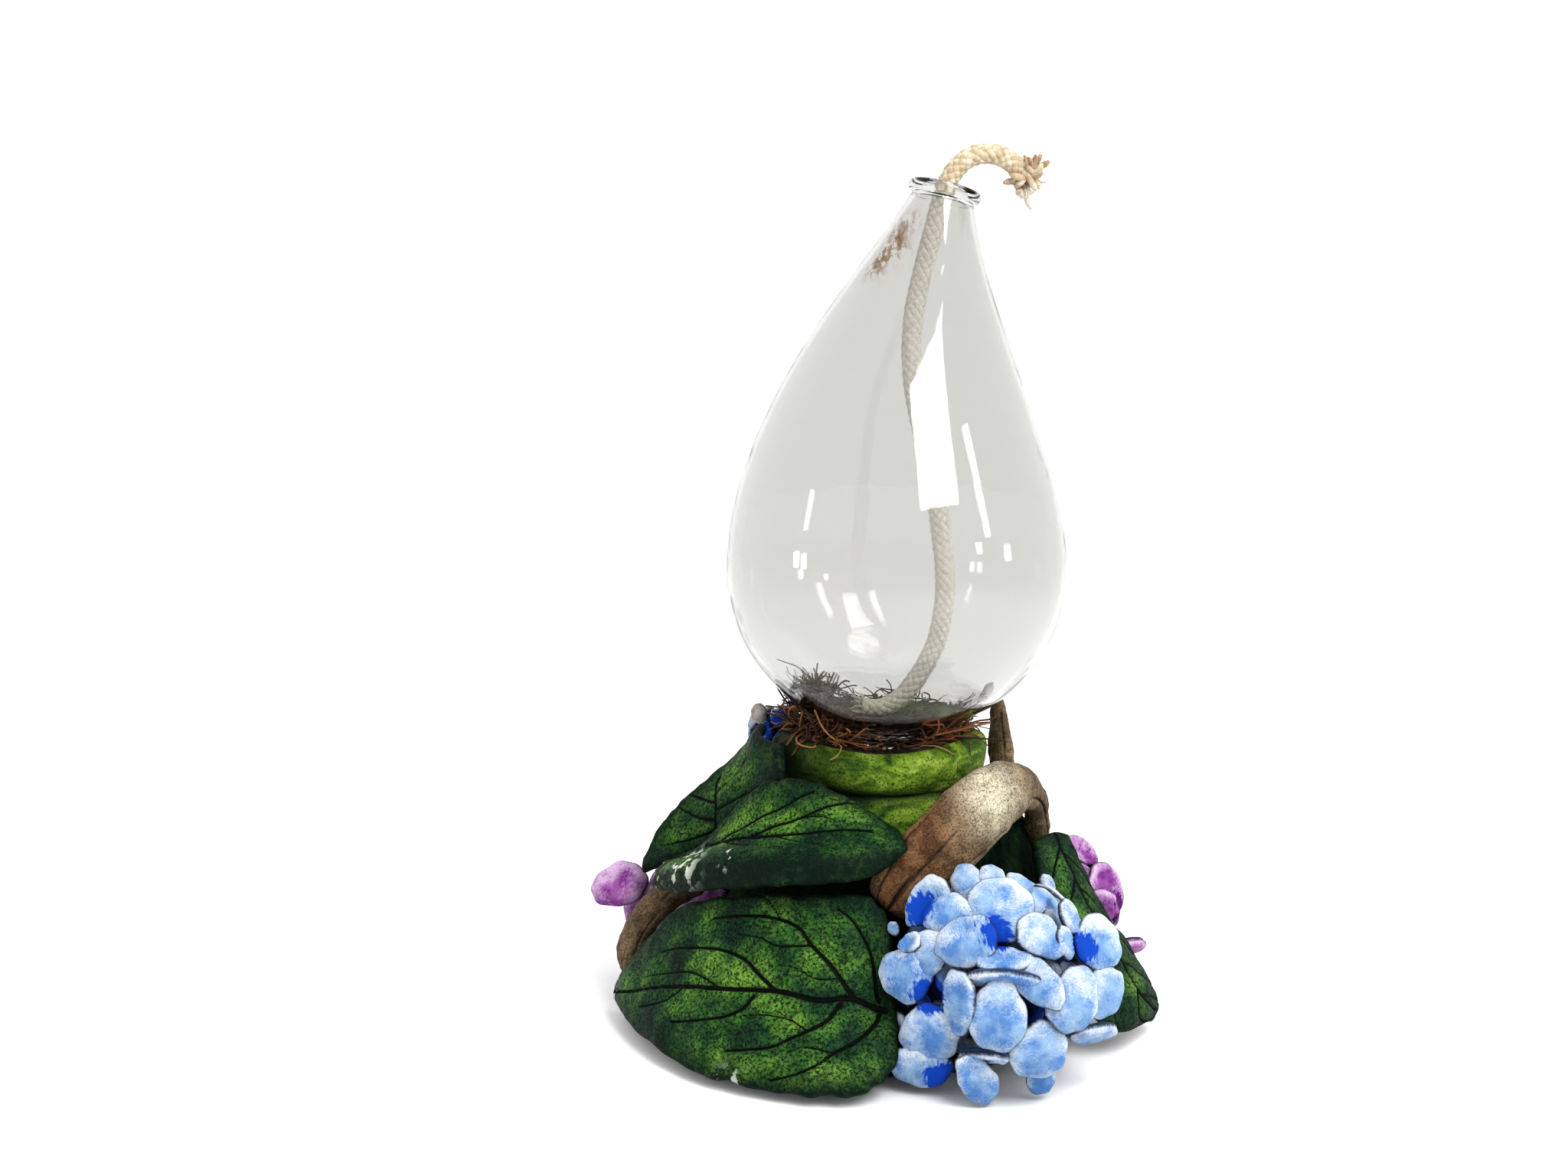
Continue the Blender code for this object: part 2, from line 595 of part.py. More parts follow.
# Offset from the head's centre, direction faced, roll, half-length, half-width, cup.
BLUE_PETALS = (
    ((-9, -9, 27), (-0.3, -0.55, 0.8), 28, 5.6, 4.0, -0.8),
    ((-2, -10, 28), (0.1, -0.6, 0.8), 0, 4.4, 3.2, -0.6),
    ((-19, -11, 22), (-0.6, -0.7, 0.5), -25, 6.8, 5.2, 1.0),
    ((-24, -17, 13), (-0.6, -0.6, 0.5), -60, 3.2, 2.4, 0.3),
    ((-20, -20, 11), (-0.5, -0.8, 0.2), -10, 6.0, 4.6, -1.0),
    ((-26, -18, 5), (-0.55, -0.85, 0.2), -85, 7.0, 6.6, -1.2),
    ((-27, -11, -11), (-0.8, -0.6, -0.2), -110, 4.4, 3.6, -0.6),
    ((-13, -28, 1), (-0.75, -0.65, 0.1), 8, 7.6, 4.8, -0.8),
    ((-20, -22, -10), (-0.4, -0.9, -0.1), -50, 8.0, 7.0, -1.4),
    ((-22, -20, -19), (-0.3, -0.9, -0.15), -80, 7.6, 5.6, -1.0),
    ((-8, -27, -19), (0.1, -0.95, -0.1), -150, 6.8, 4.4, 0.6),
    ((-6, -27, -13), (-0.2, -0.5, -0.85), 115, 6.8, 3.6, 0.6),
    ((9, -24, -20), (0.2, -0.9, -0.3), -160, 5.2, 3.6, -0.5),
    ((24, -18, -11), (0.3, -0.6, -0.75), 72, 7.4, 4.2, -0.6),
    ((27, -19, 1), (0.75, -0.65, 0.1), 120, 6.4, 5.6, 1.0),
    ((25, -17, 13), (0.5, -0.85, 0.3), 45, 6.6, 6.0, 1.0),
    ((17, -18, 20), (0.75, -0.6, 0.4), 8, 4.4, 3.0, -0.4),
    ((15, -23, 15), (0.8, -0.6, 0.3), 0, 4.0, 2.6, -0.3),
    ((9, -24, 17), (0.25, -0.8, 0.55), 50, 6.2, 5.2, -0.6),
    ((-15, -18, 21), (-0.4, -0.8, 0.5), -75, 6.2, 5.0, -1.0),
    ((-1, -20, 23), (0.0, -0.85, 0.5), 5, 7.8, 7.6, -1.2),
    ((-11, -25, 16), (-0.35, -0.85, 0.4), -65, 7.6, 5.8, -1.2),
    ((-1, -27, 12), (0.05, -0.55, 0.85), 90, 7.0, 3.6, -0.5),
    ((-2, -29, 8), (-0.1, -0.7, -0.7), 92, 8.2, 3.4, 0.4),
    ((17, -28, 2), (0.4, -0.85, 0.3), 140, 8.2, 6.4, -1.2),
    ((7, -30, 7), (-0.2, -0.8, 0.5), 52, 7.8, 4.6, -1.0),
    ((8, -30, -11), (0.2, -0.95, -0.15), 160, 7.4, 7.0, -1.2),
    ((-3, -32, -1), (-0.1, -0.95, 0.2), 170, 8.2, 6.6, -1.4),
)

VIOLET_RIGHT_CENTRE = Vector((64.0, 24.0, 24.0))
VIOLET_RIGHT = (
    ((3, 0, 17), (0.4, -0.5, 0.7), 20, 5.2, 4.4, 0.8),
    ((9, -6, 7), (0.55, -0.75, 0.25), 30, 7.2, 6.4, 1.2),
    ((17, -7, -11), (0.3, -0.6, -0.75), 75, 6.6, 4.2, -0.4),
)
VIOLET_LEFT_CENTRE = Vector((-54.0, 29.0, 25.0))
VIOLET_LEFT = (((-22.5, -13, 8), (-0.3, -0.85, 0.3), -72, 8.2, 6.2, -1.0),)
HEAD_CORE = (13.0, 13.0, 14.0)
LOBE_DEPTH = 0.16
TOP_BUD_CENTRE = Vector((-27.5, 29.0, 79.0))
TOP_BUD_SIZE = (8.5, 6.0, 6.5)
PALE_BUD_CENTRE = (-33.0, 16.5, 86.0)
PALE_BUD_SIZE = (2.4, 2.4, 3.2)


def ellipsoid_loops(centre, radii, sides=12, rows=7):
    loops = []
    for row in range(1, rows):
        tilt = math.pi * row / rows
        loops.append(
            [
                Vector(centre)
                + Vector(
                    (
                        radii[0] * math.sin(tilt) * math.cos(a),
                        radii[1] * math.sin(tilt) * math.sin(a),
                        -radii[2] * math.cos(tilt),
                    )
                )
                for a in turns(sides)
            ]
        )
    return loops


def rounded(name, centre, radii, finish, sides=12, rows=7):
    return place(name, *bridge(ellipsoid_loops(centre, radii, sides, rows)), finish)


def lobed_head(name, centre, radii, finish, lobes=5, sides=20, rows=8):
    """A head whose skin swells into rounded petal lobes, each row half a lobe from the last."""
    loops = ellipsoid_loops((0, 0, 0), radii, sides, rows)
    shaped = []
    for row, loop in enumerate(loops):
        swell = LOBE_DEPTH * math.sin(math.pi * (row + 1) / rows)
        shift = math.pi * (row // 2)
        stretched = [v * (1 + swell * math.cos(lobes * a + shift)) for v, a in zip(loop, turns(sides))]
        shaped.append([Vector(centre) + v for v in stretched])
    return place(name, *bridge(shaped), finish)


def make_violet_head(name, centre, petals, prefix, finish, neighbours):
    """A lobed head with single petals on the side that is seen from the front."""
    core = lobed_head(name, centre, HEAD_CORE, finish)
    head = HeadBuilder([core, *neighbours])
    for index, (offset, facing, roll, long, wide, cup) in enumerate(petals, 1):
        at = centre + Vector(offset)
        head.add(f"{prefix}_petal_{index:02d}", finish, at, facing, roll, long, wide, cup, PETAL_THICKNESS)


# Assembly --------------------------------------------------------------------------------------


def joint_frame(name, at):
    """An empty whose origin is on a joint's axis."""
    empty = bpy.data.objects.new(name, None)
    empty.location = Vector(at) * MM
    bpy.context.scene.collection.objects.link(empty)
    bpy.context.view_layer.update()
    return empty


def main():
    for old in list(bpy.data.objects):
        bpy.data.objects.remove(old)

    moss_green = material("moss_green_clay", (0.16, 0.27, 0.05), 0.8)
    leaf_green = material("leaf_green_clay", (0.05, 0.17, 0.05), 0.7)
    bark = material("bark_clay", (0.30, 0.22, 0.14), 0.8)
    earth = material("dark_clay", (0.02, 0.03, 0.02), 0.9)
    coir = material("coir_moss", (0.28, 0.11, 0.03), 0.95)
    blue = material("blue_clay", (0.38, 0.58, 0.86), 0.75)
    violet = material("violet_clay", (0.50, 0.25, 0.58), 0.75)
    pale = material("pale_clay", (0.62, 0.57, 0.55), 0.8)

    font_frame = joint_frame("font_lift_frame", (font_centre(FOOT_Z), 0.0, FOOT_Z))
    wick_frame = joint_frame("wick_raise_frame", (font_centre(MOUTH_Z), 0.0, MOUTH_Z))
    wick_frame.parent = font_frame
    wick_frame.matrix_parent_inverse = font_frame.matrix_world.inverted()
    bpy.context.view_layer.update()
    make_font(font_frame)
    make_wick(wick_frame)

    turned("base_slab", SLAB_OUTLINE, earth)
    make_core(earth)
    turned("clay_fold", FOLD_OUTLINE, moss_green)
    make_collar(moss_green)
    make_nest(coir)

    leaves = [
        sheet("leaf_front", LEAF_FRONT, leaf_green),
        sheet("leaf_middle", LEAF_MIDDLE, leaf_green, 12, 9),
        sheet("leaf_left", LEAF_LEFT, leaf_green, 10, 6),
        sheet("leaf_right", LEAF_RIGHT, leaf_green, 10, 6),
    ]
    for name, (base, tip, half_width, lift) in LAID_LEAVES.items():
        leaves.append(sheet(name, mound_rails(base, tip, half_width, lift), leaf_green, 10, 6))
    branches = [branch(name, spine, bark) for name, spine in BRANCHES.items()]

    around = leaves + branches
    core = rounded("blue_head_core", BLUE_CORE_CENTRE, BLUE_CORE, earth)
    head = HeadBuilder([core, *around])
    for index, (offset, facing, roll, long, wide, cup) in enumerate(BLUE_PETALS, 1):
        at = BLUE_CENTRE + Vector(offset)
        head.add(f"blue_petal_{index:02d}", blue, at, facing, roll, long, wide, cup, PETAL_THICKNESS)

    make_violet_head("violet_head_right", VIOLET_RIGHT_CENTRE, VIOLET_RIGHT, "violet_right", violet, around)
    make_violet_head("violet_head_left", VIOLET_LEFT_CENTRE, VIOLET_LEFT, "violet_left", violet, around)
    lobed_head("bud_cluster", TOP_BUD_CENTRE, TOP_BUD_SIZE, blue, 4, 16, 6)
    rounded("pale_bud", PALE_BUD_CENTRE, PALE_BUD_SIZE, pale, 10, 6)


main()
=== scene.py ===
# Looks of a teardrop glass oil lamp in a hand-modelled clay hydrangea base.
# Shapes are worked out in millimetres and turned to metres where each mesh is made.

import math

import bpy
import numpy as np
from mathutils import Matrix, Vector


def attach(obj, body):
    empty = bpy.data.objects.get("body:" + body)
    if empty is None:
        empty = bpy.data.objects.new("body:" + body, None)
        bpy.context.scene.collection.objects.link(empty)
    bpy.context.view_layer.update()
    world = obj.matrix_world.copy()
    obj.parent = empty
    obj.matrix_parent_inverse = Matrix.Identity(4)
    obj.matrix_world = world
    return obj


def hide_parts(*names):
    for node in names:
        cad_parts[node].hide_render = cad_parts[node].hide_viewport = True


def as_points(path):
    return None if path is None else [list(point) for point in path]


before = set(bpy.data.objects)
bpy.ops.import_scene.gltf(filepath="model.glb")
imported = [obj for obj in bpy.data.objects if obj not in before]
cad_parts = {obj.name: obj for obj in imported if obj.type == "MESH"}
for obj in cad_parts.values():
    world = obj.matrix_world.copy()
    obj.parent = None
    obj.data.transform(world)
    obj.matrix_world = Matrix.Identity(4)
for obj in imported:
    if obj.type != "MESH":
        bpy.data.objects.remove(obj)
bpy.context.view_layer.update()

MM = 0.001
TAU = math.tau

# The lamp's own dimensions, as in the CAD.
BELLY_Z, BELLY_RADIUS, BELLY_DEPTH = 132, 49.6, 48.9
NECK_Z, NECK_RADIUS = 238, 9
SHOULDER_PULL, NECK_PULL = (49.6, 168), (18.5, 212)
WALL, FLOOR_DEPTH = 1.5, 46.5
AXIS_X, MOUTH_Z, MOUTH_LEAN = 7.2, 240, 13.4
FOOT_Z, FOOT_RADIUS, FOOT_SHIFT, SEAT_Z = 77.5, 10.9, 3, 97
BORE_RADIUS, FLANGE_RADIUS = 6.5, 10.6
COLLAR_X, COLLAR_INNER = 2.5, 24
GAP = 0.3

# Camera and cord

CAMERA_PLACE = (-0.0254, -0.5, 0.175)
CAMERA_DIP = 5.6
CAMERA_LENS = 39.46

camera = bpy.data.objects.new("camera", bpy.data.cameras.new("camera"))
camera.location = CAMERA_PLACE
camera.rotation_euler = (math.radians(90 - CAMERA_DIP), 0, 0)
camera.data.lens = CAMERA_LENS
camera.data.sensor_width = 36
camera.data.clip_start = 0.01
bpy.context.scene.collection.objects.link(camera)
bpy.context.scene.camera = camera

WICK_ROUTE = (
    (-3.5, -6, 91), (3, -4.5, 90.4), (9, -3.4, 93.5), (14.2, -2.8, 100.5), (18.6, -2.6, 109),
    (20.8, -2.6, 119), (21.4, -2.6, 130), (20.2, -2.6, 141), (18.6, -2.6, 153),
    (15.2, -2.6, 168), (12, -2.6, 183), (11.1, -2.6, 195), (11.9, -2.6, 206),
    (14.2, -2.6, 217), (17.3, -2.7, 229), (20.2, -2.8, 239.5), (23, -3.4, 245.3),
    (27.6, -4.4, 249), (33.6, -5.2, 249.6), (39, -6, 247), (42.4, -6.8, 242.6),
)


# Geometry helpers


def smooth_curve(points, amounts):
    """Points at 0 to 1 along a Catmull-Rom curve; each control may itself be an array."""
    points = np.asarray(points, float)
    count = len(points) - 1
    at = np.clip(np.asarray(amounts, float), 0, 1) * count
    index = np.minimum(at.astype(int), count - 1)
    t = (at - index).reshape(-1, *[1] * (points.ndim - 1))
    padded = np.concatenate([[2 * points[0] - points[1]], points, [2 * points[-1] - points[-2]]])
    p0, p1, p2, p3 = (padded[index + k] for k in range(4))
    bend = (2 * p0 - 5 * p1 + 4 * p2 - p3) * t**2 + (3 * p1 - p0 - 3 * p2 + p3) * t**3
    return 0.5 * (2 * p1 + (p2 - p0) * t + bend)


def even_curve(points, step):
    """The same curve as points one step apart."""
    fine = smooth_curve(points, np.linspace(0, 1, 1600))
    far = np.concatenate([[0], np.cumsum(np.linalg.norm(np.diff(fine, axis=0), axis=1))])
    count = max(2, round(far[-1] / step))
    want = np.linspace(0, far[-1], count + 1)
    return np.stack([np.interp(want, far, fine[:, k]) for k in range(3)], axis=1)


def unit(vectors):
    size = np.linalg.norm(vectors, axis=-1, keepdims=True)
    return vectors / np.maximum(size, 1e-9)


def ripple(points, size, seed, octaves=3):
    """Smooth repeatable noise, about -1 to 1; size is its longest wave in millimetres."""
    draw = np.random.default_rng(seed)
    flat = np.asarray(points, float).reshape(-1, 3)
    total = np.zeros(len(flat))
    for octave in range(octaves):
        for _ in range(7):
            wave = TAU / (size * 0.5**octave) * draw.uniform(0.6, 1.4)
            total += np.sin(flat @ unit(draw.normal(size=3)) * wave + draw.uniform(0, TAU)) * 0.55**octave
    return (total / 4.2).reshape(np.asarray(points).shape[:-1])


def nearest(points, line):
    """Distance from each point to the nearest point of a line, and that point's index."""
    flat = points.reshape(-1, 3)
    distance, index = np.empty(len(flat)), np.empty(len(flat), int)
    for start in range(0, len(flat), 4000):
        part = flat[start : start + 4000]
        gaps = (part**2).sum(axis=1)[:, None] + (line**2).sum(axis=1)[None, :] - 2 * part @ line.T
        index[start : start + 4000] = gaps.argmin(axis=1)
        distance[start : start + 4000] = np.sqrt(np.maximum(gaps.min(axis=1), 0))
    return distance.reshape(points.shape[:-1]), index.reshape(points.shape[:-1])


def near(value, width):
    """1 at zero, falling to 0 over the width."""
    return np.exp(-((value / width) ** 2))


def full_turn(sides):
    return np.arange(sides) / sides * TAU


def grid_faces(rows, columns, start=0, wrap=False):
    """Quads of a grid of (rows x columns) points; wrap joins the last column to the first."""
    r, c = np.meshgrid(np.arange(rows - 1), np.arange(columns if wrap else columns - 1), indexing="ij")
    d = (c + 1) % columns
    return (np.stack([r * columns + c, r * columns + d, (r + 1) * columns + d, (r + 1) * columns + c], -1)
            .reshape(-1, 4) + start)


def make_piece(name, vertices, faces, finish, body, replaces=(), values=None, uv=None):
    """A visible mesh from millimetre points, faces outwards, riding on a body."""
    mesh = bpy.data.meshes.new(name)
    mesh.from_pydata((np.asarray(vertices, float).reshape(-1, 3) * MM).tolist(), [], [list(f) for f in faces])
    mesh.calc_loop_triangles()
    corners = np.empty(len(mesh.loop_triangles) * 3, int)
    mesh.loop_triangles.foreach_get("vertices", corners)
    places = np.empty(len(mesh.vertices) * 3, np.float32)
    mesh.vertices.foreach_get("co", places)
    a, b, c = places.reshape(-1, 3)[corners.reshape(-1, 3)].transpose(1, 0, 2)
    if (a * np.cross(b, c)).sum() < 0:
        mesh.flip_normals()
    for key, value in (values or {}).items():
        layer = mesh.attributes.new(key, "FLOAT", "POINT")
        layer.data.foreach_set("value", np.ravel(value).astype(np.float32))
    if uv is not None:
        owner = np.empty(len(mesh.loops), int)
        mesh.loops.foreach_get("vertex_index", owner)
        layer = mesh.uv_layers.new(name="brush")
        layer.data.foreach_set("uv", np.asarray(uv, np.float32).reshape(-1, 2)[owner].ravel())
    mesh.shade_smooth()
    mesh.materials.append(finish)
    made = bpy.data.objects.new(name, mesh)
    bpy.context.scene.collection.objects.link(made)
    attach(made, body)
    if replaces:
        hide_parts(*replaces)
    return made


def closed_loops(loops):
    """Vertices and faces of a closed body through loops of equal length, with a fan at each end."""
    loops = np.asarray(loops)
    rows, sides = loops.shape[:2]
    flat = loops.reshape(-1, 3)
    vertices = np.concatenate([flat, [loops[0].mean(axis=0)], [loops[-1].mean(axis=0)]])
    faces = grid_faces(rows, sides, wrap=True).tolist()
    last = (rows - 1) * sides
    for i in range(sides):
        j = (i + 1) % sides
        faces.append([rows * sides, j, i])
        faces.append([rows * sides + 1, last + i, last + j])
    return vertices, faces


def ahead_along(path):
    return unit(np.gradient(path, axis=0))


def sides_of(ahead):
    """Two directions square to a direction, the first one also square to Y."""
    side = unit(np.cross(ahead, (0, 1, 0)))
    return side, np.cross(ahead, side)


def tube(path, radii, sides=6):
    """Loops of a round tube along a path, its frame carried along without twist."""
    path = np.asarray(path, float)
    ahead = ahead_along(path)
    across = np.cross(ahead[0], (0.3, 0.2, 1))
    turn = full_turn(sides)
    loops = []
    for point, way, radius in zip(path, ahead, np.broadcast_to(radii, len(path))):
        across = unit(across - way * (across @ way))
        other = np.cross(way, across)
        loops.append(point + radius * (np.cos(turn)[:, None] * across + np.sin(turn)[:, None] * other))
    return np.array(loops)


def brush_round(far, sides, wrap):
    """Brush coordinates of a tube: round it, with a slant, and along it."""
    along = np.repeat(far, sides)
    around = np.tile(np.arange(sides) / sides * wrap, len(far)) + along * 0.5
    return np.concatenate([np.stack([around, along], 1), [[0, 0], [0, far[-1]]]])


def ball(centre, radii, rows=48, sides=72, gap=0.04):
    """Loops of an ellipsoid, and the outward direction of each of its points."""
    turn, tilt = full_turn(sides), np.linspace(gap, math.pi - gap, rows)[:, None]
    way = np.stack([np.sin(tilt) * np.cos(turn), np.sin(tilt) * np.sin(turn), -np.cos(tilt) + 0 * turn], -1)
    return np.array(centre) + way * radii, way


class Bundle:
    """Many closed bodies gathered into one mesh, each with its own value and brush coordinates."""

    def __init__(self):
        self.vertices, self.faces, self.values, self.uv, self.count = [], [], [], [], 0

    def add(self, loops, value, ends=None, uv=None):
        """The value is one number or one for each loop; ends are those of the two end points."""
        vertices, faces = closed_loops(loops)
        rows, sides = loops.shape[:2]
        each = np.repeat(np.broadcast_to(value, rows), sides)
        self.faces += [[i + self.count for i in face] for face in faces]
        self.vertices.append(vertices)
        self.values.append(np.append(each, [value, value] if ends is None else ends))
        if uv is not None:
            self.uv.append(uv)
        self.count += len(vertices)

    def make(self, name, finish, body, slot, replaces, values_of):
        vertices = np.concatenate(self.vertices)
        values = values_of(vertices, np.concatenate(self.values))
        uv = np.concatenate(self.uv) if self.uv else None
        return make_piece(name, vertices, self.faces, finish, body, replaces, values, uv)


# Materials


class Paint:
    """One node material: calls that add a node and return its output, and coats laid on a colour."""

    def __init__(self, name, roughness=0.7, **settings):
        self.material = bpy.data.materials.new(name)
        self.material.use_nodes = True
        self.tree = self.material.node_tree
        self.shader = self.tree.nodes["Principled BSDF"]
        self.colour = None
        self.fill(self.shader, Roughness=roughness, **settings)
        place = self.node("TexCoord")
        scale = self.node("VectorMath", operation="SCALE")
        scale.inputs["Scale"].default_value = 1 / MM
        self.put(scale.inputs[0], place.outputs["Object"])
        self.mm, self.uv = scale.outputs[0], place.outputs["UV"]

    def node(self, kind, **settings):
        made = self.tree.nodes.new("ShaderNode" + kind)
        for key, value in settings.items():
            setattr(made, key, value)
        return made

    def put(self, socket, value):
        if isinstance(value, bpy.types.NodeSocket):
            self.tree.links.new(value, socket)
        elif isinstance(value, tuple) and len(value) == 3 and socket.type == "RGBA":
            socket.default_value = (*value, 1)
        else:
            socket.default_value = value

    def fill(self, made, **inputs):
        for key, value in inputs.items():
            self.put(made.inputs[key.replace("_", " ")], value)

    def noise(self, per_mm, detail=4, rough=0.55, stretch=None, brush=False, distortion=0):
        vector = self.uv if brush else self.mm
        if stretch:
            mapping = self.node("Mapping")
            self.fill(mapping, Vector=vector, Scale=stretch)
            vector = mapping.outputs[0]
        made = self.node("TexNoise")
        self.fill(made, Vector=vector, Scale=per_mm, Detail=detail, Roughness=rough, Distortion=distortion)
        return made.outputs["Fac"]

    def cells(self, per_mm):
        made = self.node("TexVoronoi", feature="DISTANCE_TO_EDGE")
        self.fill(made, Vector=self.mm, Scale=per_mm)
        return made.outputs["Distance"]

    def value(self, name):
        return self.node("Attribute", attribute_name=name).outputs["Fac"]

    def band(self, value, low, high, out_low=0, out_high=1):
        """Clamped straight change of range."""
        made = self.node("MapRange")
        self.fill(made, Value=value, From_Min=low, From_Max=high, To_Min=out_low, To_Max=out_high)
        return made.outputs[0]

    def plus(self, a, b, operation="ADD"):
        made = self.node("Math", operation=operation)
        self.put(made.inputs[0], a)
        self.put(made.inputs[1], b)
        return made.outputs[0]

    def times(self, a, b):
        return self.plus(a, b, "MULTIPLY")

    def mix(self, amount, a, b, blend="MIX"):
        made = self.node("Mix", data_type="RGBA", blend_type=blend)
        self.put(made.inputs["Factor"], amount)
        self.put(made.inputs[6], a)
        self.put(made.inputs[7], b)
        return made.outputs[2]

    def ramp(self, value, *stops):
        """The first colour, read off a value."""
        made = self.node("ValToRGB")
        bar = made.color_ramp
        while len(bar.elements) < len(stops):
            bar.elements.new(0.5)
        for element, (place, colour) in zip(bar.elements, stops):
            element.position = place
            element.color = (*colour, 1)
        self.put(made.inputs[0], value)
        self.colour = made.outputs[0]

    def coat(self, tint, amount, blend="MIX"):
        self.colour = self.mix(amount, self.colour, tint, blend)

    def speck(self, tint, value, low, high, most=1):
        """A coat that thickens as a value climbs from low to high."""
        self.coat(tint, self.band(value, low, high, 0, most))

    def bumps(self, *heights):
        """Chained bumps, each (height, strength, millimetres)."""
        normal = None
        for height, strength, size in heights:
            made = self.node("Bump")
            self.fill(made, Height=height, Strength=strength, Distance=size * MM)
            if normal:
                self.put(made.inputs["Normal"], normal)
            normal = made.outputs[0]
        self.put(self.shader.inputs["Normal"], normal)

    def finish(self, roughness=None):
        self.put(self.shader.inputs["Base Color"], self.colour)
        if roughness is not None:
            self.put(self.shader.inputs["Roughness"], roughness)
        return self.material


CLAY_GLOSS = 0.08


def clay(name, roughness):
    return Paint(name, roughness, Specular_IOR_Level=CLAY_GLOSS)


def leaf_paint():
    p = clay("leaf_clay", 0.5)
    # painted highlight: patches listed for each leaf lift the ramp towards its light yellow-greens, where
    # light falls on the blade
    patch = p.plus(p.noise(0.09, 5, 0.6), p.times(p.value("painted_highlight"), 0.16))
    p.ramp(patch, (0.34, (0.003, 0.014, 0.008)), (0.46, (0.01, 0.046, 0.014)),
           (0.57, (0.036, 0.106, 0.018)), (0.72, (0.115, 0.235, 0.035)))
    grain, glint_flecks = p.noise(1.25, 6, 0.8), p.noise(2.4, 5, 0.85)
    # painted highlight: pale flecks on the fine grain stand in for glints
    p.speck((0.1, 0.22, 0.09), glint_flecks, 0.56, 0.66, 0.55)
    p.speck((0.001, 0.004, 0.002), grain, 0.485, 0.545, 0.92)
    # painted shade: near-black green laid on by the rim value, broken by noise
    p.coat((0.002, 0.009, 0.005), p.times(p.value("rim"), p.band(p.noise(0.35, 4), 0.3, 0.55, 0.55)))
    p.speck((0.12, 0.24, 0.14), p.noise(3, 5, 0.85), 0.6, 0.68, 0.4)
    p.coat((0.002, 0.008, 0.004), p.band(p.cells(0.2), 0, 0.045, 0.6, 0))
    p.speck((0.0012, 0.002, 0.0015), p.value("vein"), 0.22, 0.5)
    p.coat((0.55, 0.58, 0.52), p.times(p.value("chip"), p.band(p.noise(0.32, 4, 0.5), 0.53, 0.56)))
    p.bumps((p.noise(0.7, 5), 0.5, 0.5), (grain, 0.35, 0.25), (glint_flecks, 0.25, 0.12))
    return p.finish(p.band(grain, 0.4, 0.65, 0.42, 0.75))


def collar_paint():
    p = clay("moss_green_clay", 0.6)
    p.ramp(p.noise(0.11, 5, 0.6, stretch=(1, 1, 2.2), distortion=0.8),
           (0.3, (0.01, 0.03, 0.004)), (0.42, (0.055, 0.11, 0.01)),
           (0.54, (0.13, 0.215, 0.02)), (0.7, (0.27, 0.36, 0.07)))
    grain = p.noise(1.6, 6, 0.75)
    p.speck((0.004, 0.012, 0.003), grain, 0.51, 0.59, 0.85)
    p.speck((0.26, 0.38, 0.07), p.noise(3, 4, 0.8), 0.58, 0.7, 0.45)
    p.coat((0.005, 0.015, 0.005), p.value("shade"))
    p.bumps((p.noise(0.45, 4, stretch=(1, 1, 2.5)), 0.6, 0.6), (grain, 0.4, 0.25))
    return p.finish(p.band(grain, 0.4, 0.65, 0.45, 0.8))


def dark_paint():
    p = clay("dark_clay", 0.85)
    streaks = p.noise(0.1, 5, 0.6, stretch=(1.6, 1.6, 0.5), distortion=1.2)
    p.ramp(streaks, (0.34, (0.002, 0.005, 0.003)), (0.52, (0.006, 0.017, 0.007)),
           (0.68, (0.016, 0.04, 0.01)))
    grain = p.noise(0.8, 6, 0.75)
    p.speck((0.001, 0.002, 0.001), grain, 0.52, 0.6, 0.8)
    p.speck((0.035, 0.07, 0.025), p.noise(2.2, 5, 0.85), 0.58, 0.68, 0.4)
    p.bumps((streaks, 0.8, 2), (grain, 0.6, 0.6))
    return p.finish()


def petal_paint(name, white, light, mid, deep, shade):
    p = clay(name, 0.6)
    strokes = p.noise(0.4, 5, 0.65, (2.6, 0.8, 1), True)
    fine = p.noise(1.2, 5, 0.75, (2.4, 1, 1), True)
    p.colour = light
    p.speck(mid, p.noise(0.17, 4, 0.55), 0.38, 0.6)
    veil = p.plus(p.band(p.noise(0.13, 4, 0.6), 0.3, 0.7, -0.45, 0.55),
                  p.band(fine, 0.35, 0.65, -0.28, 0.28))
    # partly the white dry-brush, partly painted highlight: the crown value whitens the rim and the upper side
    # more and the underside less
    p.speck(white, p.plus(veil, p.value("crown")), 0.35, 1, 0.92)
    p.speck(shade, p.value("shade"), 0, 1, 0.92)
    wash = p.plus(p.value("deep"), p.band(strokes, 0.3, 0.7, -0.25, 0.25))
    p.speck(mid, wash, 0.12, 0.55, 0.55)
    p.speck(deep, wash, 0.42, 0.56)
    cracks = p.noise(0.9, 6, 0.7, (3, 0.8, 1), True, 0.6)
    p.speck(shade, cracks, 0.615, 0.65, 0.55)
    edge = p.value("edge")
    specks = p.band(p.noise(2, 5, 0.8), 0.57, 0.63)
    p.coat((0.02, 0.026, 0.042), p.times(specks, p.band(edge, 0.1, 0.9, 0.25)))
    # painted shade: a dark line along each petal's side wall stands in for the shadow in the gaps between
    # petals
    p.coat((0.01, 0.016, 0.034), p.times(p.band(edge, 0.86, 0.99), p.band(strokes, 0.3, 0.55, 0.35, 0.9)))
    p.bumps((strokes, 0.5, 0.5), (fine, 0.35, 0.15), (p.noise(3, 3), 0.2, 0.1))
    return p.finish(p.band(fine, 0.35, 0.65, 0.5, 0.75))


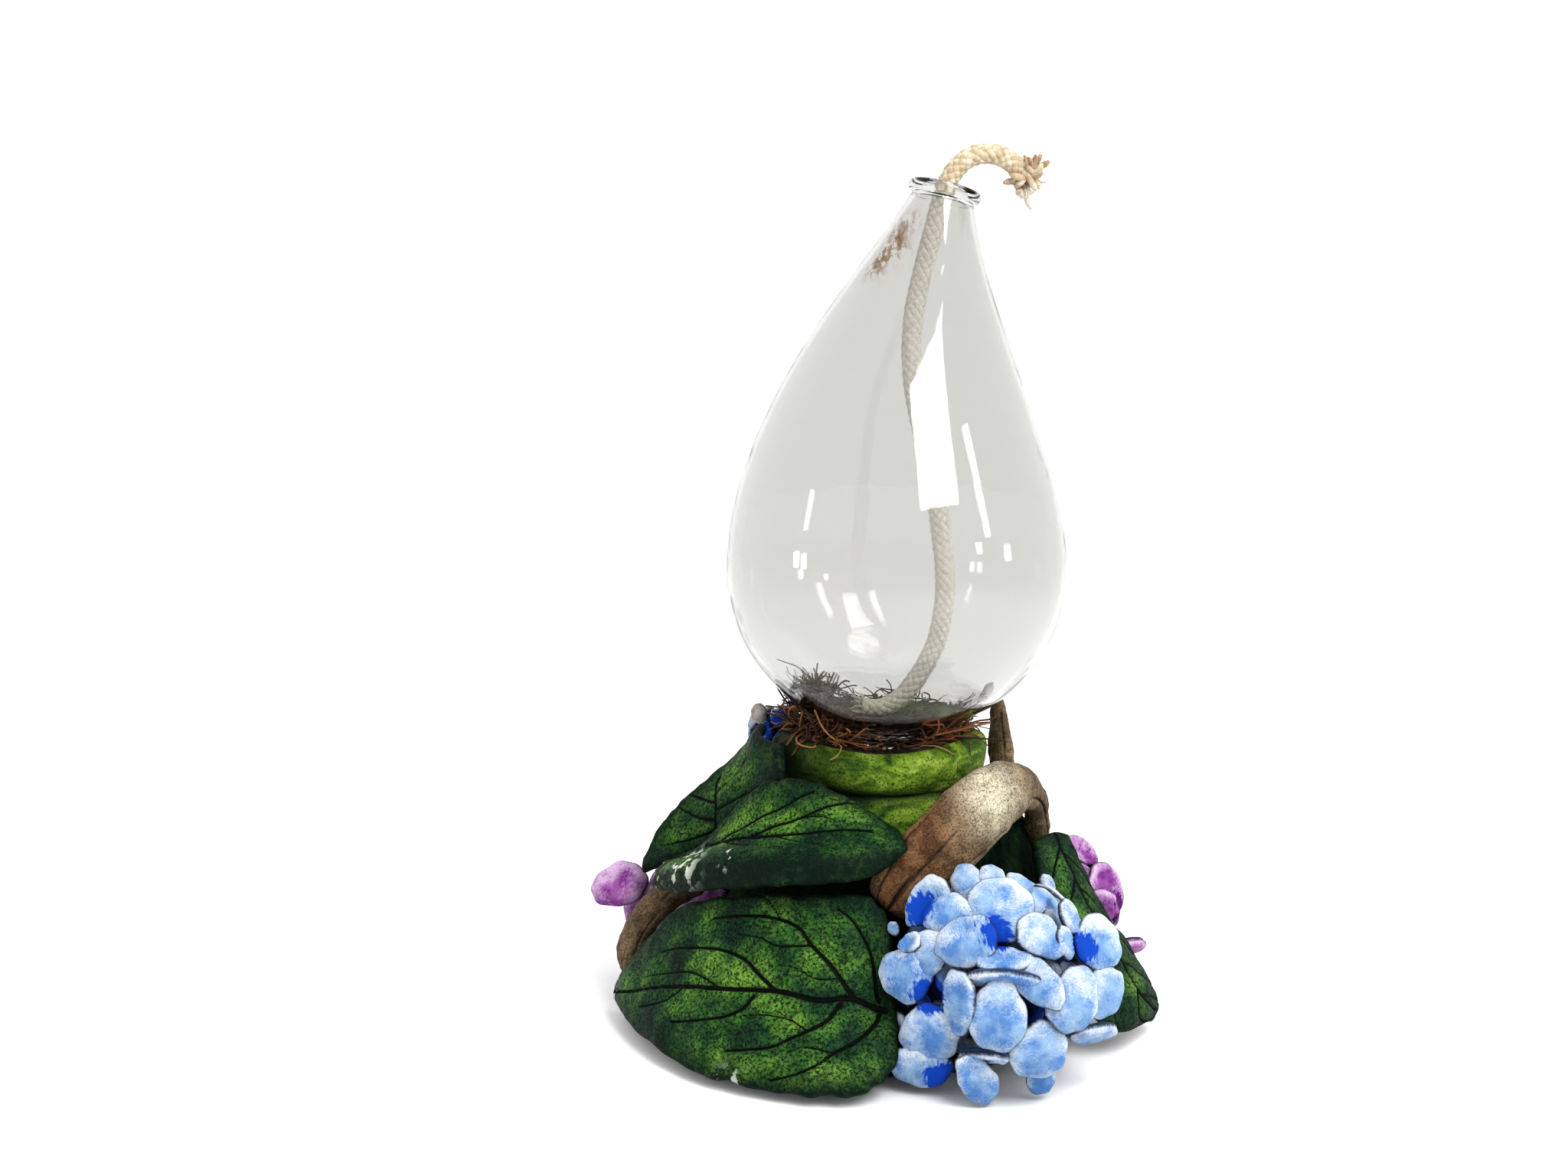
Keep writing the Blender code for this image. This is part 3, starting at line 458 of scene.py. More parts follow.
def bark_paint():
    p = clay("bark_clay", 0.65)
    patch = p.noise(0.14, 5, 0.6)
    p.ramp(patch, (0.32, (0.045, 0.032, 0.02)), (0.48, (0.12, 0.085, 0.048)),
           (0.64, (0.23, 0.165, 0.098)))
    lines = p.noise(0.28, 5, 0.6, (5, 0.5, 1), True)
    p.speck((0.05, 0.032, 0.02), lines, 0.5, 0.66, 0.6)
    p.coat((0.56, 0.52, 0.39), p.times(p.value("cream"), p.band(lines, 0.35, 0.55, 0.6)))
    rust = p.mix(p.band(patch, 0.4, 0.6), (0.085, 0.038, 0.017), (0.23, 0.125, 0.06))
    p.coat(rust, p.value("rust"))
    grain = p.noise(1.7, 6, 0.85)
    p.speck((0.02, 0.012, 0.007), grain, 0.5, 0.56, 0.8)
    p.speck((0.38, 0.31, 0.2), p.noise(3.2, 5, 0.8), 0.57, 0.67, 0.6)
    p.speck((0.012, 0.008, 0.005), p.value("groove"), 0.3, 0.8)
    p.bumps((lines, 0.6, 0.6), (grain, 0.4, 0.25))
    return p.finish(p.band(grain, 0.4, 0.65, 0.5, 0.8))


def fibre_paint():
    p = Paint("coir_moss", 0.7)
    p.ramp(p.value("tone"), (0, (0.006, 0.003, 0.0015)), (0.35, (0.05, 0.017, 0.005)),
           (0.75, (0.19, 0.06, 0.012)), (1, (0.33, 0.19, 0.06)))
    p.speck((0.05, 0.02, 0.006), p.noise(2, 4), 0.45, 0.65, 0.5)
    p.bumps((p.noise(4, 3), 0.3, 0.1))
    return p.finish()


def cotton_paint():
    p = Paint("braided_cotton", 0.85, Sheen_Weight=0.25)
    shades = (((0.7, 4), 0.65, (0.93, 0.91, 0.84), (0.86, 0.82, 0.72)),
              ((0.4, 5), 0.62, (0.62, 0.555, 0.41), (0.42, 0.315, 0.195)),
              ((0.9, 4), 0.65, (0.36, 0.2, 0.09), (0.17, 0.08, 0.035)))
    cream, tan, char = (p.mix(p.band(p.noise(*grain), 0.35, high), light, dark)
                        for grain, high, light, dark in shades)
    p.colour = cream
    p.coat(tan, p.value("toast"))
    p.coat(char, p.value("char"))
    # painted shade: the under value darkens the cotton where strands pass under others and on the hidden core
    p.coat((0.13, 0.085, 0.05), p.value("under"), "MULTIPLY")
    threads = p.noise(1, 4, 0.6, (4.5, 0.8, 1), True)
    p.speck((0.3, 0.22, 0.13), threads, 0.5, 0.7, 0.35)
    p.bumps((threads, 0.7, 0.25), (p.noise(5, 3), 0.25, 0.1))
    return p.finish()


def glass_paint():
    p = Paint("clear_glass", 0.015, IOR=1.47, Transmission_Weight=1)
    residue = p.band(p.noise(0.35, 6, 0.65, (1.6, 1, 0.45)), 0.47, 0.56)
    stain = p.times(p.value("stain"), residue)
    p.colour = (0.738, 0.736, 0.72)
    p.coat((0.3, 0.13, 0.035), p.times(stain, 0.85))
    p.bumps((p.noise(0.05, 2), 0.15, 1))
    return p.finish(p.band(stain, 0, 1, 0.015, 0.5))


def bead_paint():
    p = clay("pale_clay", 0.5)
    p.ramp(p.noise(0.35, 5), (0.35, (0.26, 0.22, 0.21)), (0.6, (0.48, 0.43, 0.42)))
    p.speck((0.14, 0.11, 0.12), p.noise(2, 5, 0.8), 0.58, 0.66, 0.7)
    p.bumps((p.noise(1.5, 5), 0.4, 0.3))
    return p.finish()


LEAF, GREEN, DARK, BARK = leaf_paint(), collar_paint(), dark_paint(), bark_paint()
FIBRE, COTTON, GLASS, BEAD = fibre_paint(), cotton_paint(), glass_paint(), bead_paint()
BLUE = petal_paint("blue_clay", (0.52, 0.56, 0.61), (0.22, 0.34, 0.5), (0.08, 0.185, 0.41),
                   (0.005, 0.05, 0.34), (0.012, 0.022, 0.055))
VIOLET = petal_paint("violet_clay", (0.56, 0.4, 0.57), (0.3, 0.1, 0.32), (0.17, 0.03, 0.2),
                     (0.08, 0.005, 0.1), (0.05, 0.01, 0.06))


# Font


def font_centre(z):
    above = np.maximum(0, z - BELLY_Z) / (MOUTH_Z - BELLY_Z)
    below = np.maximum(0, SEAT_Z - z) / (SEAT_Z - FOOT_Z)
    return AXIS_X + MOUTH_LEAN * above**2 - FOOT_SHIFT * below**1.5


def font_lean(z):
    return np.arctan(2 * MOUTH_LEAN * np.maximum(0, z - BELLY_Z) / (MOUTH_Z - BELLY_Z) ** 2)


def shoulder(inset, count):
    """Height and radius of the drawn-out upper half, belly to neck."""
    pulls = np.array([(BELLY_Z, BELLY_RADIUS), SHOULDER_PULL[::-1], NECK_PULL[::-1], (NECK_Z, NECK_RADIUS)])
    t = np.linspace(0, 1, count)[:, None]
    weights = ((1 - t) ** 3, 3 * t * (1 - t) ** 2, 3 * t**2 * (1 - t), t**3)
    curve = sum(w * pull for w, pull in zip(weights, pulls))
    curve[:, 1] -= inset
    return curve


def bowl(depth, radius, first, count):
    turn = np.radians(np.linspace(first, 90, count))
    return np.stack([BELLY_Z - depth * np.cos(turn), radius * np.sin(turn)], axis=1)


# Dried lamp-oil residue on the upper left of the glass, and the turned rings of its foot.
STAINS = ((9.6, -9, 231), (6, -10.5, 226), (3.2, -12, 221), (0.3, -13.2, 217),
          (6, -14, 222))
FOOT_RINGS = tuple((FOOT_Z + 1 + 0.55 * k, 0.42 * (k % 2)) for k in range(9))


def make_font():
    """One closed wall: up the outside from the foot, over the lip, and down the inside."""
    foot = [(FOOT_Z, 0.5), (FOOT_Z, FOOT_RADIUS - 1.4), (FOOT_Z + 0.2, FOOT_RADIUS - 0.6),
            (FOOT_Z + 0.8, FOOT_RADIUS), *((z, FOOT_RADIUS + 0.2 + push) for z, push in FOOT_RINGS),
            (FOOT_Z + 6, FOOT_RADIUS + 1.2)]
    round_edge = [(MOUTH_Z - 0.2 + 1.5 * math.sin(a), FLANGE_RADIUS - 1 + math.cos(a))
                  for a in np.radians(np.linspace(-80, 80, 9))]
    lip = [(MOUTH_Z - 1.5, NECK_RADIUS + 0.2), *round_edge, (MOUTH_Z + 1.2, 9),
           (MOUTH_Z + 1.15, BORE_RADIUS + 1.6), (MOUTH_Z + 0.7, BORE_RADIUS + 0.6),
           (MOUTH_Z - 0.4, BORE_RADIUS + 0.1), (NECK_Z - 1, BORE_RADIUS)]
    inside_up = shoulder(WALL, 60)[1:]
    inside_up = inside_up[inside_up[:, 1] > BORE_RADIUS + 0.2][::-1]
    floor = bowl(FLOOR_DEPTH, BELLY_RADIUS - WALL, 1, 50)[::-1]
    outline = np.concatenate([foot, bowl(BELLY_DEPTH, BELLY_RADIUS, 16, 46), shoulder(0, 60)[1:], lip,
                              inside_up, floor])
    turn = full_turn(128)
    lean = font_lean(outline[:, 0])[:, None]
    z, radius = outline[:, 0][:, None], outline[:, 1][:, None]
    across = radius * np.cos(turn)
    loops = np.stack([font_centre(z) + across * np.cos(lean), radius * np.sin(turn) + 0 * across,
                      z - across * np.sin(lean)], axis=-1)
    height = loops[..., 2]
    swell = ripple(loops, 60, 4, 1) * np.clip((height - 100) / 30, 0, 1) * np.clip((225 - height) / 30, 0, 1)
    middle = np.stack([font_centre(z) + 0 * across, 0 * across, z + 0 * across], axis=-1)
    loops = loops + unit(loops - middle) * (swell * 0.12)[..., None]
    vertices, faces = closed_loops(loops)
    stain = sum(near(np.linalg.norm(vertices - place, axis=1), 3.6) for place in STAINS)
    make_piece("blown_glass_font", vertices, faces, GLASS, "font", ("font_glass",),
               {"stain": stain})


make_font()


def font_underside(x, y):
    """Height of the glass over a point of its lower half."""
    away = np.minimum(1, np.hypot(x - AXIS_X + 1.5, y) / BELLY_RADIUS)
    return BELLY_Z - BELLY_DEPTH * np.sqrt(1 - away**2)


# Wick

STRANDS, STRAND_SIDES, STRAND_PITCH = 6, 8, 16
STRAND_MIDDLE, STRAND_WEAVE = 2.1, 0.36
STRAND_THIN, STRAND_WIDE = 0.55, 1.05
CORE_RADIUS, CORE_SIDES = STRAND_MIDDLE - 0.25, 12
WICK_STEP = 0.45


def wick_toast(points):
    """Tan colour of the cotton: none inside the glass, full above the mouth."""
    return np.clip((points[:, 2] - 236) / 6, 0, 1)


def make_wick():
    path = even_curve(WICK_ROUTE, WICK_STEP)
    side, out = sides_of(ahead_along(path))
    far = np.arange(len(path)) * WICK_STEP
    section = full_turn(STRAND_SIDES)
    braid = Bundle()
    for hand in (1, -1):
        weave = hand * STRAND_WEAVE * np.cos(TAU * STRANDS * far / STRAND_PITCH)
        # painted shade: dip darkens each strand where it passes under the crossing strands; the braid's ends
        # and the hidden core take it too
        dip = np.clip(-weave / STRAND_WEAVE, 0, 1) ** 1.5 * 0.85
        for strand in range(STRANDS):
            turn = TAU * (strand / STRANDS + hand * far / STRAND_PITCH)
            radial = side * np.cos(turn)[:, None] + out * np.sin(turn)[:, None]
            centre = path + radial * (STRAND_MIDDLE + weave)[:, None]
            wide = unit(np.cross(radial, ahead_along(centre)))
            plump = 1 + 0.1 * np.sin(far * 1.7 + strand * 2.1 + hand)
            loops = (centre[:, None] + radial[:, None] * (STRAND_THIN * np.cos(section))[:, None]
                     + wide[:, None] * (STRAND_WIDE * np.sin(section))[:, None] * plump[:, None, None])
            braid.add(loops, dip, [0.4, 0.4], brush_round(far, STRAND_SIDES, 3.4))
    braid.add(tube(path, CORE_RADIUS, CORE_SIDES), 0.8, uv=np.zeros((len(path) * CORE_SIDES + 2, 2)))

    def heat(vertices, under):
        toast = wick_toast(vertices)
        char = np.clip((vertices[:, 0] - 37) / 9, 0, 1) * toast * 0.55
        return {"toast": toast, "char": char, "under": under}

    return braid.make("wick_braid", COTTON, "wick", "cotton_wick", ("wick",), heat), path


class Yarns(Bundle):
    """Loose yarns and hairs round an end of the wick, in the braid's own material."""

    def __init__(self, seed, end, before):
        super().__init__()
        self.draw = np.random.default_rng(seed)
        self.end, self.ahead = end, unit(end - before)
        self.side, self.out = sides_of(self.ahead)

    def ring(self, turn):
        return self.side * math.cos(turn) + self.out * math.sin(turn)

    def grow(self, start, direction, length, radius, curl, char, pull=(0, 0, 0)):
        """A yarn that starts in a direction and wanders, its end drawn to a point."""
        count = max(6, int(length / 0.6))
        step = length / count
        point, way = np.array(start, float), unit(np.array(direction, float))
        turn = self.draw.normal(size=3)
        path = [point]
        for _ in range(count):
            turn = turn * 0.85 + self.draw.normal(size=3) * 0.5
            way = unit(way + (turn * curl + np.array(pull)) * step)
            point = point + way * step
            path.append(point)
        taper = np.clip((1 - np.linspace(0, 1, len(path))) * 6, 0.35, 1) ** 0.6
        self.add(tube(path, radius * taper, 6), np.linspace(char * 0.3, char, len(path)), [0.2, 0.9],
                 brush_round(np.linspace(0, length, len(path)), 6, 3))

    def done(self, name, slot, replaces=()):
        return self.make(name, COTTON, "wick", slot, replaces, lambda vertices, char: {
            "toast": wick_toast(vertices), "char": char, "under": 0 * char})


def make_outer_fray(path):
    """The burnt outer end: curled unravelled yarns, a scorched tuft above and fine hairs."""
    yarns = Yarns(11, path[-1], path[-4])
    end, ahead, uniform = yarns.end, yarns.ahead, yarns.draw.uniform
    for index in range(18):
        ring = yarns.ring(TAU * index / 18 + uniform(-0.15, 0.15))
        start = end - ahead * 1.2 + ring * uniform(1.2, 2.2)
        yarns.grow(start, ahead + ring * uniform(0.2, 0.9), uniform(5, 9.5), uniform(0.7, 1.05), 0.3,
                   uniform(0.05, 0.6), -ring * 0.12)
    for _ in range(12):
        ring = yarns.ring(uniform(0, TAU))
        yarns.grow(end - ahead * 0.8 + ring * 1.2, ring + ahead * 0.4, uniform(4, 6.5), 0.9, 0.6, 0.45,
                   -ring * 0.35)
    for _ in range(12):
        root = end + np.array([uniform(-0.6, 2.2), uniform(-1.6, 1.2), uniform(0.6, 2.2)])
        way = (uniform(-0.05, 0.45), uniform(-0.35, 0.35), 1)
        yarns.grow(root, way, uniform(4.2, 6.6), uniform(0.65, 0.95), 0.18, uniform(0.6, 1), (-0.04, 0, 0))
    for _ in range(60):
        ring = yarns.ring(uniform(0, TAU))
        yarns.grow(end + ahead * uniform(-1.5, 3.5) + ring * 2, ring + ahead * uniform(0, 1.2),
                   uniform(1.6, 4.5), 0.09, 0.5, uniform(0.2, 0.9))
    return yarns.done("wick_burnt_strands", "scorched_cotton", ("wick_frayed_end",))


def make_inner_fray(path):
    """The cut lower end: short loose ends splayed on the floor of the font."""
    yarns = Yarns(12, path[0], path[4])
    uniform = yarns.draw.uniform
    for index in range(26):
        ring = yarns.ring(TAU * index / 26)
        start = yarns.end - yarns.ahead * 0.8 + ring * uniform(0.4, 2.3)
        way = yarns.ahead + ring * uniform(-0.1, 0.38)
        yarns.grow(start, way, uniform(2.4, 4.2), uniform(0.28, 0.5), 0.3, 0)
    return yarns.done("wick_lower_strands", "cotton_wick")


wick, wick_path = make_wick()
lower_strands = make_inner_fray(wick_path)
burnt_strands = make_outer_fray(wick_path)
wick_length = float(np.linalg.norm(np.diff(wick_path, axis=0), axis=1).sum()) * MM
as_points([tuple(p) for p in wick_path[::4] * MM] + [tuple(wick_path[-1] * MM)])


# Collar, fold, core and slab


def ring_profile(points, count):
    return smooth_curve(np.asarray(points, float), np.linspace(0, 1, count))


def turned_piece(name, profile, finish, replaces, sides, rough, shade=None, open_ring=False, dip=0):
    """A hand-pressed solid of revolution from (height, radius) rows."""
    turn = full_turn(sides)
    z, radius = profile[:, 0][:, None], profile[:, 1][:, None]
    loops = np.stack([COLLAR_X + radius * np.cos(turn), radius * np.sin(turn), z + 0 * turn], axis=-1)
    depth, size, seed = rough
    away = unit(loops - np.array([COLLAR_X, 0, profile[:, 0].mean()]))
    loops = loops + away * (ripple(loops, size, seed) * depth)[..., None]
    if dip:
        front = near(loops[..., 0] - COLLAR_X - 1, 21) * np.clip(-loops[..., 1] / 24, 0, 1)
        loops[..., 2] -= dip * front * np.clip((loops[..., 2] - 76) / 8, 0, 1)
    values = {"shade": np.zeros(loops.shape[:2]) if shade is None else shade(loops)}
    if open_ring:
        last = (len(loops) - 1) * sides
        faces = grid_faces(len(loops), sides, wrap=True).tolist()
        faces += [[last + i, last + (i + 1) % sides, (i + 1) % sides, i] for i in range(sides)]
        return make_piece(name, loops, faces, finish, "base", replaces, values)
    vertices, faces = closed_loops(loops)
    values["shade"] = np.append(values["shade"].ravel(), [0, 0])
    return make_piece(name, vertices, faces, finish, "base", replaces, values)


def make_collar():
    outline = ((70.2, COLLAR_INNER), (70, 27), (70.6, 29.6), (74, 31.6), (79, 32), (82.6, 30.8),
               (84.3, 28), (83.9, 25.4), (82.2, COLLAR_INNER + 0.2), (79, COLLAR_INNER),
               (74, COLLAR_INNER))

    def shade(loops):
        low = np.clip((73.5 - loops[..., 2]) / 3, 0, 1)
        left = near(loops[..., 0] + 27, 20) * 0.98
        inside = np.clip((26 - np.hypot(loops[..., 0] - COLLAR_X, loops[..., 1])) / 2, 0, 1) * 0.8
        return np.clip(low + left + inside, 0, 1)

    turned_piece("pressed_clay_collar", ring_profile(outline, 60), GREEN, ("clay_collar",),
                 200, (0.9, 24, 3), shade, open_ring=True, dip=2.4)


def make_fold():
    outline = ((53.5, 24), (53.5, 29), (57, 32.6), (63, 33.2), (68.6, 31.8), (71, 29), (71, 24))

    def shade(loops):
        under = np.clip((60 - loops[..., 2]) / 6, 0, 1)
        over = np.clip((loops[..., 2] - 67.8) / 2.5, 0, 1) * 0.8
        return np.clip(np.maximum(under, over) + near(loops[..., 0] + 24, 22) * 0.8, 0, 1)

    turned_piece("folded_clay_neck", ring_profile(outline, 44), GREEN, ("clay_fold",),
                 180, (1, 22, 5), shade)


def make_core():
    rows = ring_profile(((7, 47), (8, 50), (20, 49), (36, 44), (50, 37.5), (53.2, 34)), 50)
    towards = math.atan2(-49, 31.5 - COLLAR_X)
    turn = full_turn(160)
    off = np.degrees(np.abs((turn - towards + math.pi) % TAU - math.pi)) / 22
    reach = rows[:, 1][:, None] * (1 - 0.31 * np.exp(-(off**2)))[None, :]
    height = rows[:, 0][:, None] + 0 * turn
    loops = np.stack([COLLAR_X + reach * np.cos(turn), reach * np.sin(turn), height], -1)
    loops = loops + unit(loops - (COLLAR_X, 0, 30)) * (ripple(loops, 22, 9) * 0.9 - 0.4)[..., None]
    vertices, faces = closed_loops(loops)
    make_piece("lumpy_clay_core", vertices, faces, DARK, "base", ("clay_core",))


def make_shoulder():
    """The dark mass behind the arch."""
    loops, way = ball((33, 2, 40), (18, 18, 23))
    loops = loops + way * ripple(loops, 14, 96)[..., None]
    vertices, faces = closed_loops(loops)
    make_piece("dark_clay_shoulder", vertices, faces, DARK, "base")


make_shoulder()
make_collar()
make_fold()
make_core()
SLAB_OUTLINE = ((0, 54), (0.1, 55.2), (1.5, 57), (5.2, 57), (6.6, 55.2), (6.7, 54))
turned_piece("round_clay_slab", ring_profile(SLAB_OUTLINE, 24), DARK, ("base_slab",), 160,
             (0.06, 14, 8))


# Moss nest


def front_dip(x, y):
    """1 at the front of the collar, where the fibre lies low and the foot shows."""
    return near(x - COLLAR_X - 1, 13) * np.clip(-y / 14, 0, 1)


def nest_top(x, y):
    """Height of the packed fibre: a seat for the foot, rising to the glass and the collar."""
    foot_x = font_centre(FOOT_Z)
    in_seat = np.hypot(x - foot_x, y) < FOOT_RADIUS + 2.2
    return np.where(in_seat, FOOT_Z - GAP, np.minimum(font_underside(x, y) - 1.6, 85 - 4 * front_dip(x, y)))


def make_nest():
    turn = full_turn(144)
    radii = np.linspace(COLLAR_INNER - 0.4, 0.8, 34)
    x = COLLAR_X + radii[:, None] * np.cos(turn)
    y = radii[:, None] * np.sin(turn)
    top = nest_top(x, y)
    flat = np.stack([x, y, top], -1)
    z = top - np.abs(ripple(flat, 5, 31)) * np.where(top > FOOT_Z, 1.3, 0.2)
    z[0] = np.minimum(z[0], 82.8)
    loops = np.concatenate([[np.stack([x[0], y[0], np.full(len(turn), 70.2)], -1)], np.stack([x, y, z], -1)])
    vertices, faces = closed_loops(loops)
    make_piece("packed_moss_pad", vertices, faces, FIBRE, "base", ("moss_nest",),
               {"tone": np.full(len(vertices), 0.02)})


def wander(draw, start, direction, length, curl, low, high):
    """A curly fibre's path, kept between a floor and a ceiling over each point."""
    count = max(8, int(length / 0.9))
    step = length / count
    point, way = np.array(start, float), unit(np.array(direction, float))
    turn = draw.normal(size=3) * curl
    path = []
    for _ in range(count):
        path.append(point.copy())
        turn = turn * 0.9 + draw.normal(size=3) * curl * 0.45
        way = unit(way + turn * step)
        point = point + way * step
        point[2] = min(max(point[2], low(point)), high(point))
    return path


NEST_FIBRES, TUFT_FIBRES = 620, 150


def make_fibres():
    draw = np.random.default_rng(41)
    bundle = Bundle()

    def low(p):
        out = math.hypot(p[0] - COLLAR_X, p[1])
        if out < COLLAR_INNER:
            return float(nest_top(p[0], p[1])) + 0.1
        return 84.6 - 2 * float(front_dip(*p[:2])) - max(0, out - 28.5) * 1.2

    def high(p):
        return float(font_underside(p[0], p[1])) - 0.35

    for _ in range(NEST_FIBRES):
        turn = draw.uniform(0, TAU)
        if math.sin(turn) < 0 and abs(math.cos(turn) + 0.05) < 0.42 and draw.uniform() < 0.93:
            continue
        radius = draw.uniform(13.5, 26)
        x, y = COLLAR_X + radius * math.cos(turn), radius * math.sin(turn)
        base = max(low((x, y)), 78)
        start = (x, y, base + draw.uniform(0, 2.4) ** 1.2)
        way = np.array((-math.sin(turn), math.cos(turn), 0)) + draw.normal(size=3) * (0.7, 0.7, 0.25)
        path = wander(draw, start, way, draw.uniform(6, 17), 0.16, low, high)
        bundle.add(tube(path, draw.uniform(0.13, 0.3), 5), draw.uniform(0.1, 0.95))
    for _ in range(TUFT_FIBRES):
        start = np.array((-17, 24.5, 86)) + draw.normal(size=3) * (3, 2.4, 1.6)
        way = (draw.normal() * 0.6 - 0.2, draw.normal() * 0.5 + 0.25, 0.9)
        path = wander(draw, start, way, draw.uniform(6, 13), 0.2, lambda p: 82.5, high)
        bundle.add(tube(path, draw.uniform(0.15, 0.32), 5), draw.uniform(0.3, 0.95))
    straw = [(17, -21, 86.2), (25, -17.5, 87.3), (33.8, -13.5, 88.6)]
    bundle.add(tube(even_curve(straw, 1), 0.32, 6), 0.75)
    twig = [(-15, 25.5, 85.5), (-19.5, 26.5, 92.5), (-23.5, 22, 97.5), (-29.5, 16, 100.4)]
    bundle.add(tube(even_curve(twig, 1), 0.28, 6), 0.1)
    bundle.make("coir_and_moss_fibres", FIBRE, "base", "coir_moss", (), lambda vertices, tone: {"tone": tone})


make_nest()
make_fibres()


# Leaves

LEAF_THICKNESS = 2.8
VEIN_STEPS = 220
LEAF_FRONT = (
    ((3.5, -57, 30), (2.5, -51.5, 43), (-4, -49.5, 48.5), (-20, -47, 48.5),
     (-38, -38.5, 45.5), (-54, -24, 38), (-65, -15, 24), (-74.6, -6.5, 8.6)),
    ((4, -60, 22), (-3, -61.5, 23), (-12, -62.5, 24), (-26, -59, 24.5),
     (-40, -52.5, 23), (-54, -42, 19.5), (-67, -26, 13), (-75, -8, 7.2)),
    ((4, -63, 14), (3, -70, 7), (-4, -76, 3.4), (-18, -76.5, 1.9),
     (-35.5, -69, 1.9), (-50.5, -57.5, 2.4), (-63.5, -38, 4), (-75, -9.5, 5.6)),
)
LEAF_MIDDLE = (
    ((-60, -8, 45.5), (-47.5, -14, 53), (-38.5, -18.5, 65), (-28, -26, 75.5),
     (-17, -34.5, 76), (-6, -37.5, 70.5), (5.5, -43, 63.5)),
    ((-61, -11, 44.6), (-50.5, -21.5, 51), (-39, -31, 57), (-26.5, -38.5, 61.5),
     (-14.5, -43.5, 64.5), (-3.5, -45.5, 64), (6.5, -46, 62.4)),
    ((-62, -13.5, 43), (-52.5, -28, 49.5), (-39, -41.5, 55.5), (-24.5, -50.5, 58.5),
     (-12, -53.5, 59.5), (-1, -51.5, 59.8), (7.4, -48, 61.2)),
    ((-62.5, -13.5, 40), (-54, -28.5, 42.5), (-40, -43, 47.5), (-25, -52.5, 51),
     (-12, -55.5, 52.5), (-0.5, -53, 54.5), (7.6, -48.5, 60)),
)
LEAF_LEFT = (
    ((-31, 1, 85.5), (-37, 4, 77), (-46, 6, 69), (-55, 6, 62), (-62, 4, 54),
     (-66.5, 1, 44.5)),
    ((-32, -9, 84), (-35, -10.5, 75.5), (-41, -9, 66.5), (-47.5, -6.5, 58.5), (-56, -3.5, 51),
     (-67, -1.5, 42.8)),
    ((-25.5, -21.5, 83), (-25.5, -25.5, 75), (-30, -20.5, 66.5), (-39, -13, 57.5),
     (-51, -7.5, 49.5), (-67, -3.5, 42.2)),
)
LEAF_RIGHT = (
    ((45.5, -15.5, 53.5), (45.5, -27, 47), (48.5, -36, 36), (54.5, -43, 21), (63.5, -43, 8),
     (80, -24, 4.4)),
    ((52.5, -10, 55.5), (56, -16, 46.5), (61.5, -22.5, 35), (68, -28, 24.5), (75, -28.5, 13),
     (81, -20, 5.2)),
    ((57.5, -6.5, 54), (61, -8.5, 45), (66.5, -11.5, 34), (73, -14.5, 24), (79, -16, 14.5),
     (82, -17.5, 6)),
)
MOUND = ((0, 77), (20, 67), (50, 48), (62, 42), (84, 34))
LAID_LEAVES = {
    "leaf_back_right": ((84, 45), (36, 6), 23, -3),
    "leaf_back_left": ((101, 44), (135, 5), 20, -2),
    "leaf_back_upper": ((64, 75), (126, 50), 20, 4),
    "leaf_side_left": ((140, 66), (176, 44), 15, -3),
}

# Veins: half-width in millimetres, then points (along the leaf, across it) in hundredths of it.
VEINS_FRONT = (
    (0.85, ((7, 58), (22, 50), (34, 52), (44, 50), (59, 50), (77, 48), (99, 50))),
    (0.6, ((44, 50), (49, 42), (53, 35), (59, 30), (66, 28), (76, 25))),
    (0.65, ((22, 49), (29, 38), (37, 27), (42, 18), (51, 13), (62, 13))),
    (0.55, ((10, 50), (15, 30), (26, 17), (34, 9))),
    (0.55, ((50, 53), (54, 60), (60, 65), (74, 71))),
    (0.6, ((27, 53), (32, 62), (38, 68), (44, 73), (50, 78), (60, 82))),
    (0.6, ((9, 58), (14, 66), (23, 72), (33, 78), (40, 85), (51, 93))),
    (0.35, ((37, 27), (45, 28), (50, 24), (56, 22))),
    (0.35, ((59, 50), (66, 42), (74, 40), (82, 38))),
    (0.3, ((46, 15), (50, 5), (53, 1))),
    (0.3, ((38, 68), (42, 63), (50, 62), (56, 64))),
    (0.3, ((33, 78), (40, 76), (45, 79))),
    (0.3, ((27, 40), (34, 42), (40, 38), (45, 37))),
    (0.35, ((70, 50), (76, 58), (84, 64))),
)
VEINS_MIDDLE = (
    (0.75, ((4, 12), (12, 17), (27, 27), (39, 32), (53, 37), (67, 37), (86, 34))),
    (0.55, ((24, 27), (34, 23), (44, 20), (54, 17), (66, 8))),
    (0.55, ((40, 32), (49, 28), (59, 25), (72, 15), (84, 4))),
    (0.35, ((30, 29), (36, 40), (44, 50), (50, 58))),
    (0.35, ((48, 35), (55, 46), (64, 55))),
    (0.3, ((59, 25), (66, 24), (72, 26))),
    (0.3, ((20, 23), (26, 14), (33, 6))),
)
VEINS_LEFT = (
    (0.7, ((38, 18), (41, 23), (48, 43), (58, 63), (68, 87))),
    (0.5, ((58, 63), (62, 40), (66, 6))),
    (0.5, ((49, 42), (54, 18), (57, 3))),
    (0.45, ((46, 35), (32, 40), (15, 45))),
    (0.4, ((64, 78), (76, 62), (86, 40))),
    (0.35, ((52, 52), (40, 66), (30, 80))),
)


def feather_veins(pairs):
    """A midrib with curved side veins in pairs."""
    found = [(0.75, ((2, 50), (50, 50), (98, 50)))]
    for index in range(pairs):
        for side in (-1, 1):
            start = 10 + 68 * index / (pairs - 1) + 2 * side
            found.append((0.5, tuple((start + 22 * t, 50 + side * 44 * t**0.8) for t in (0, 0.3, 0.65, 1))))
    return found


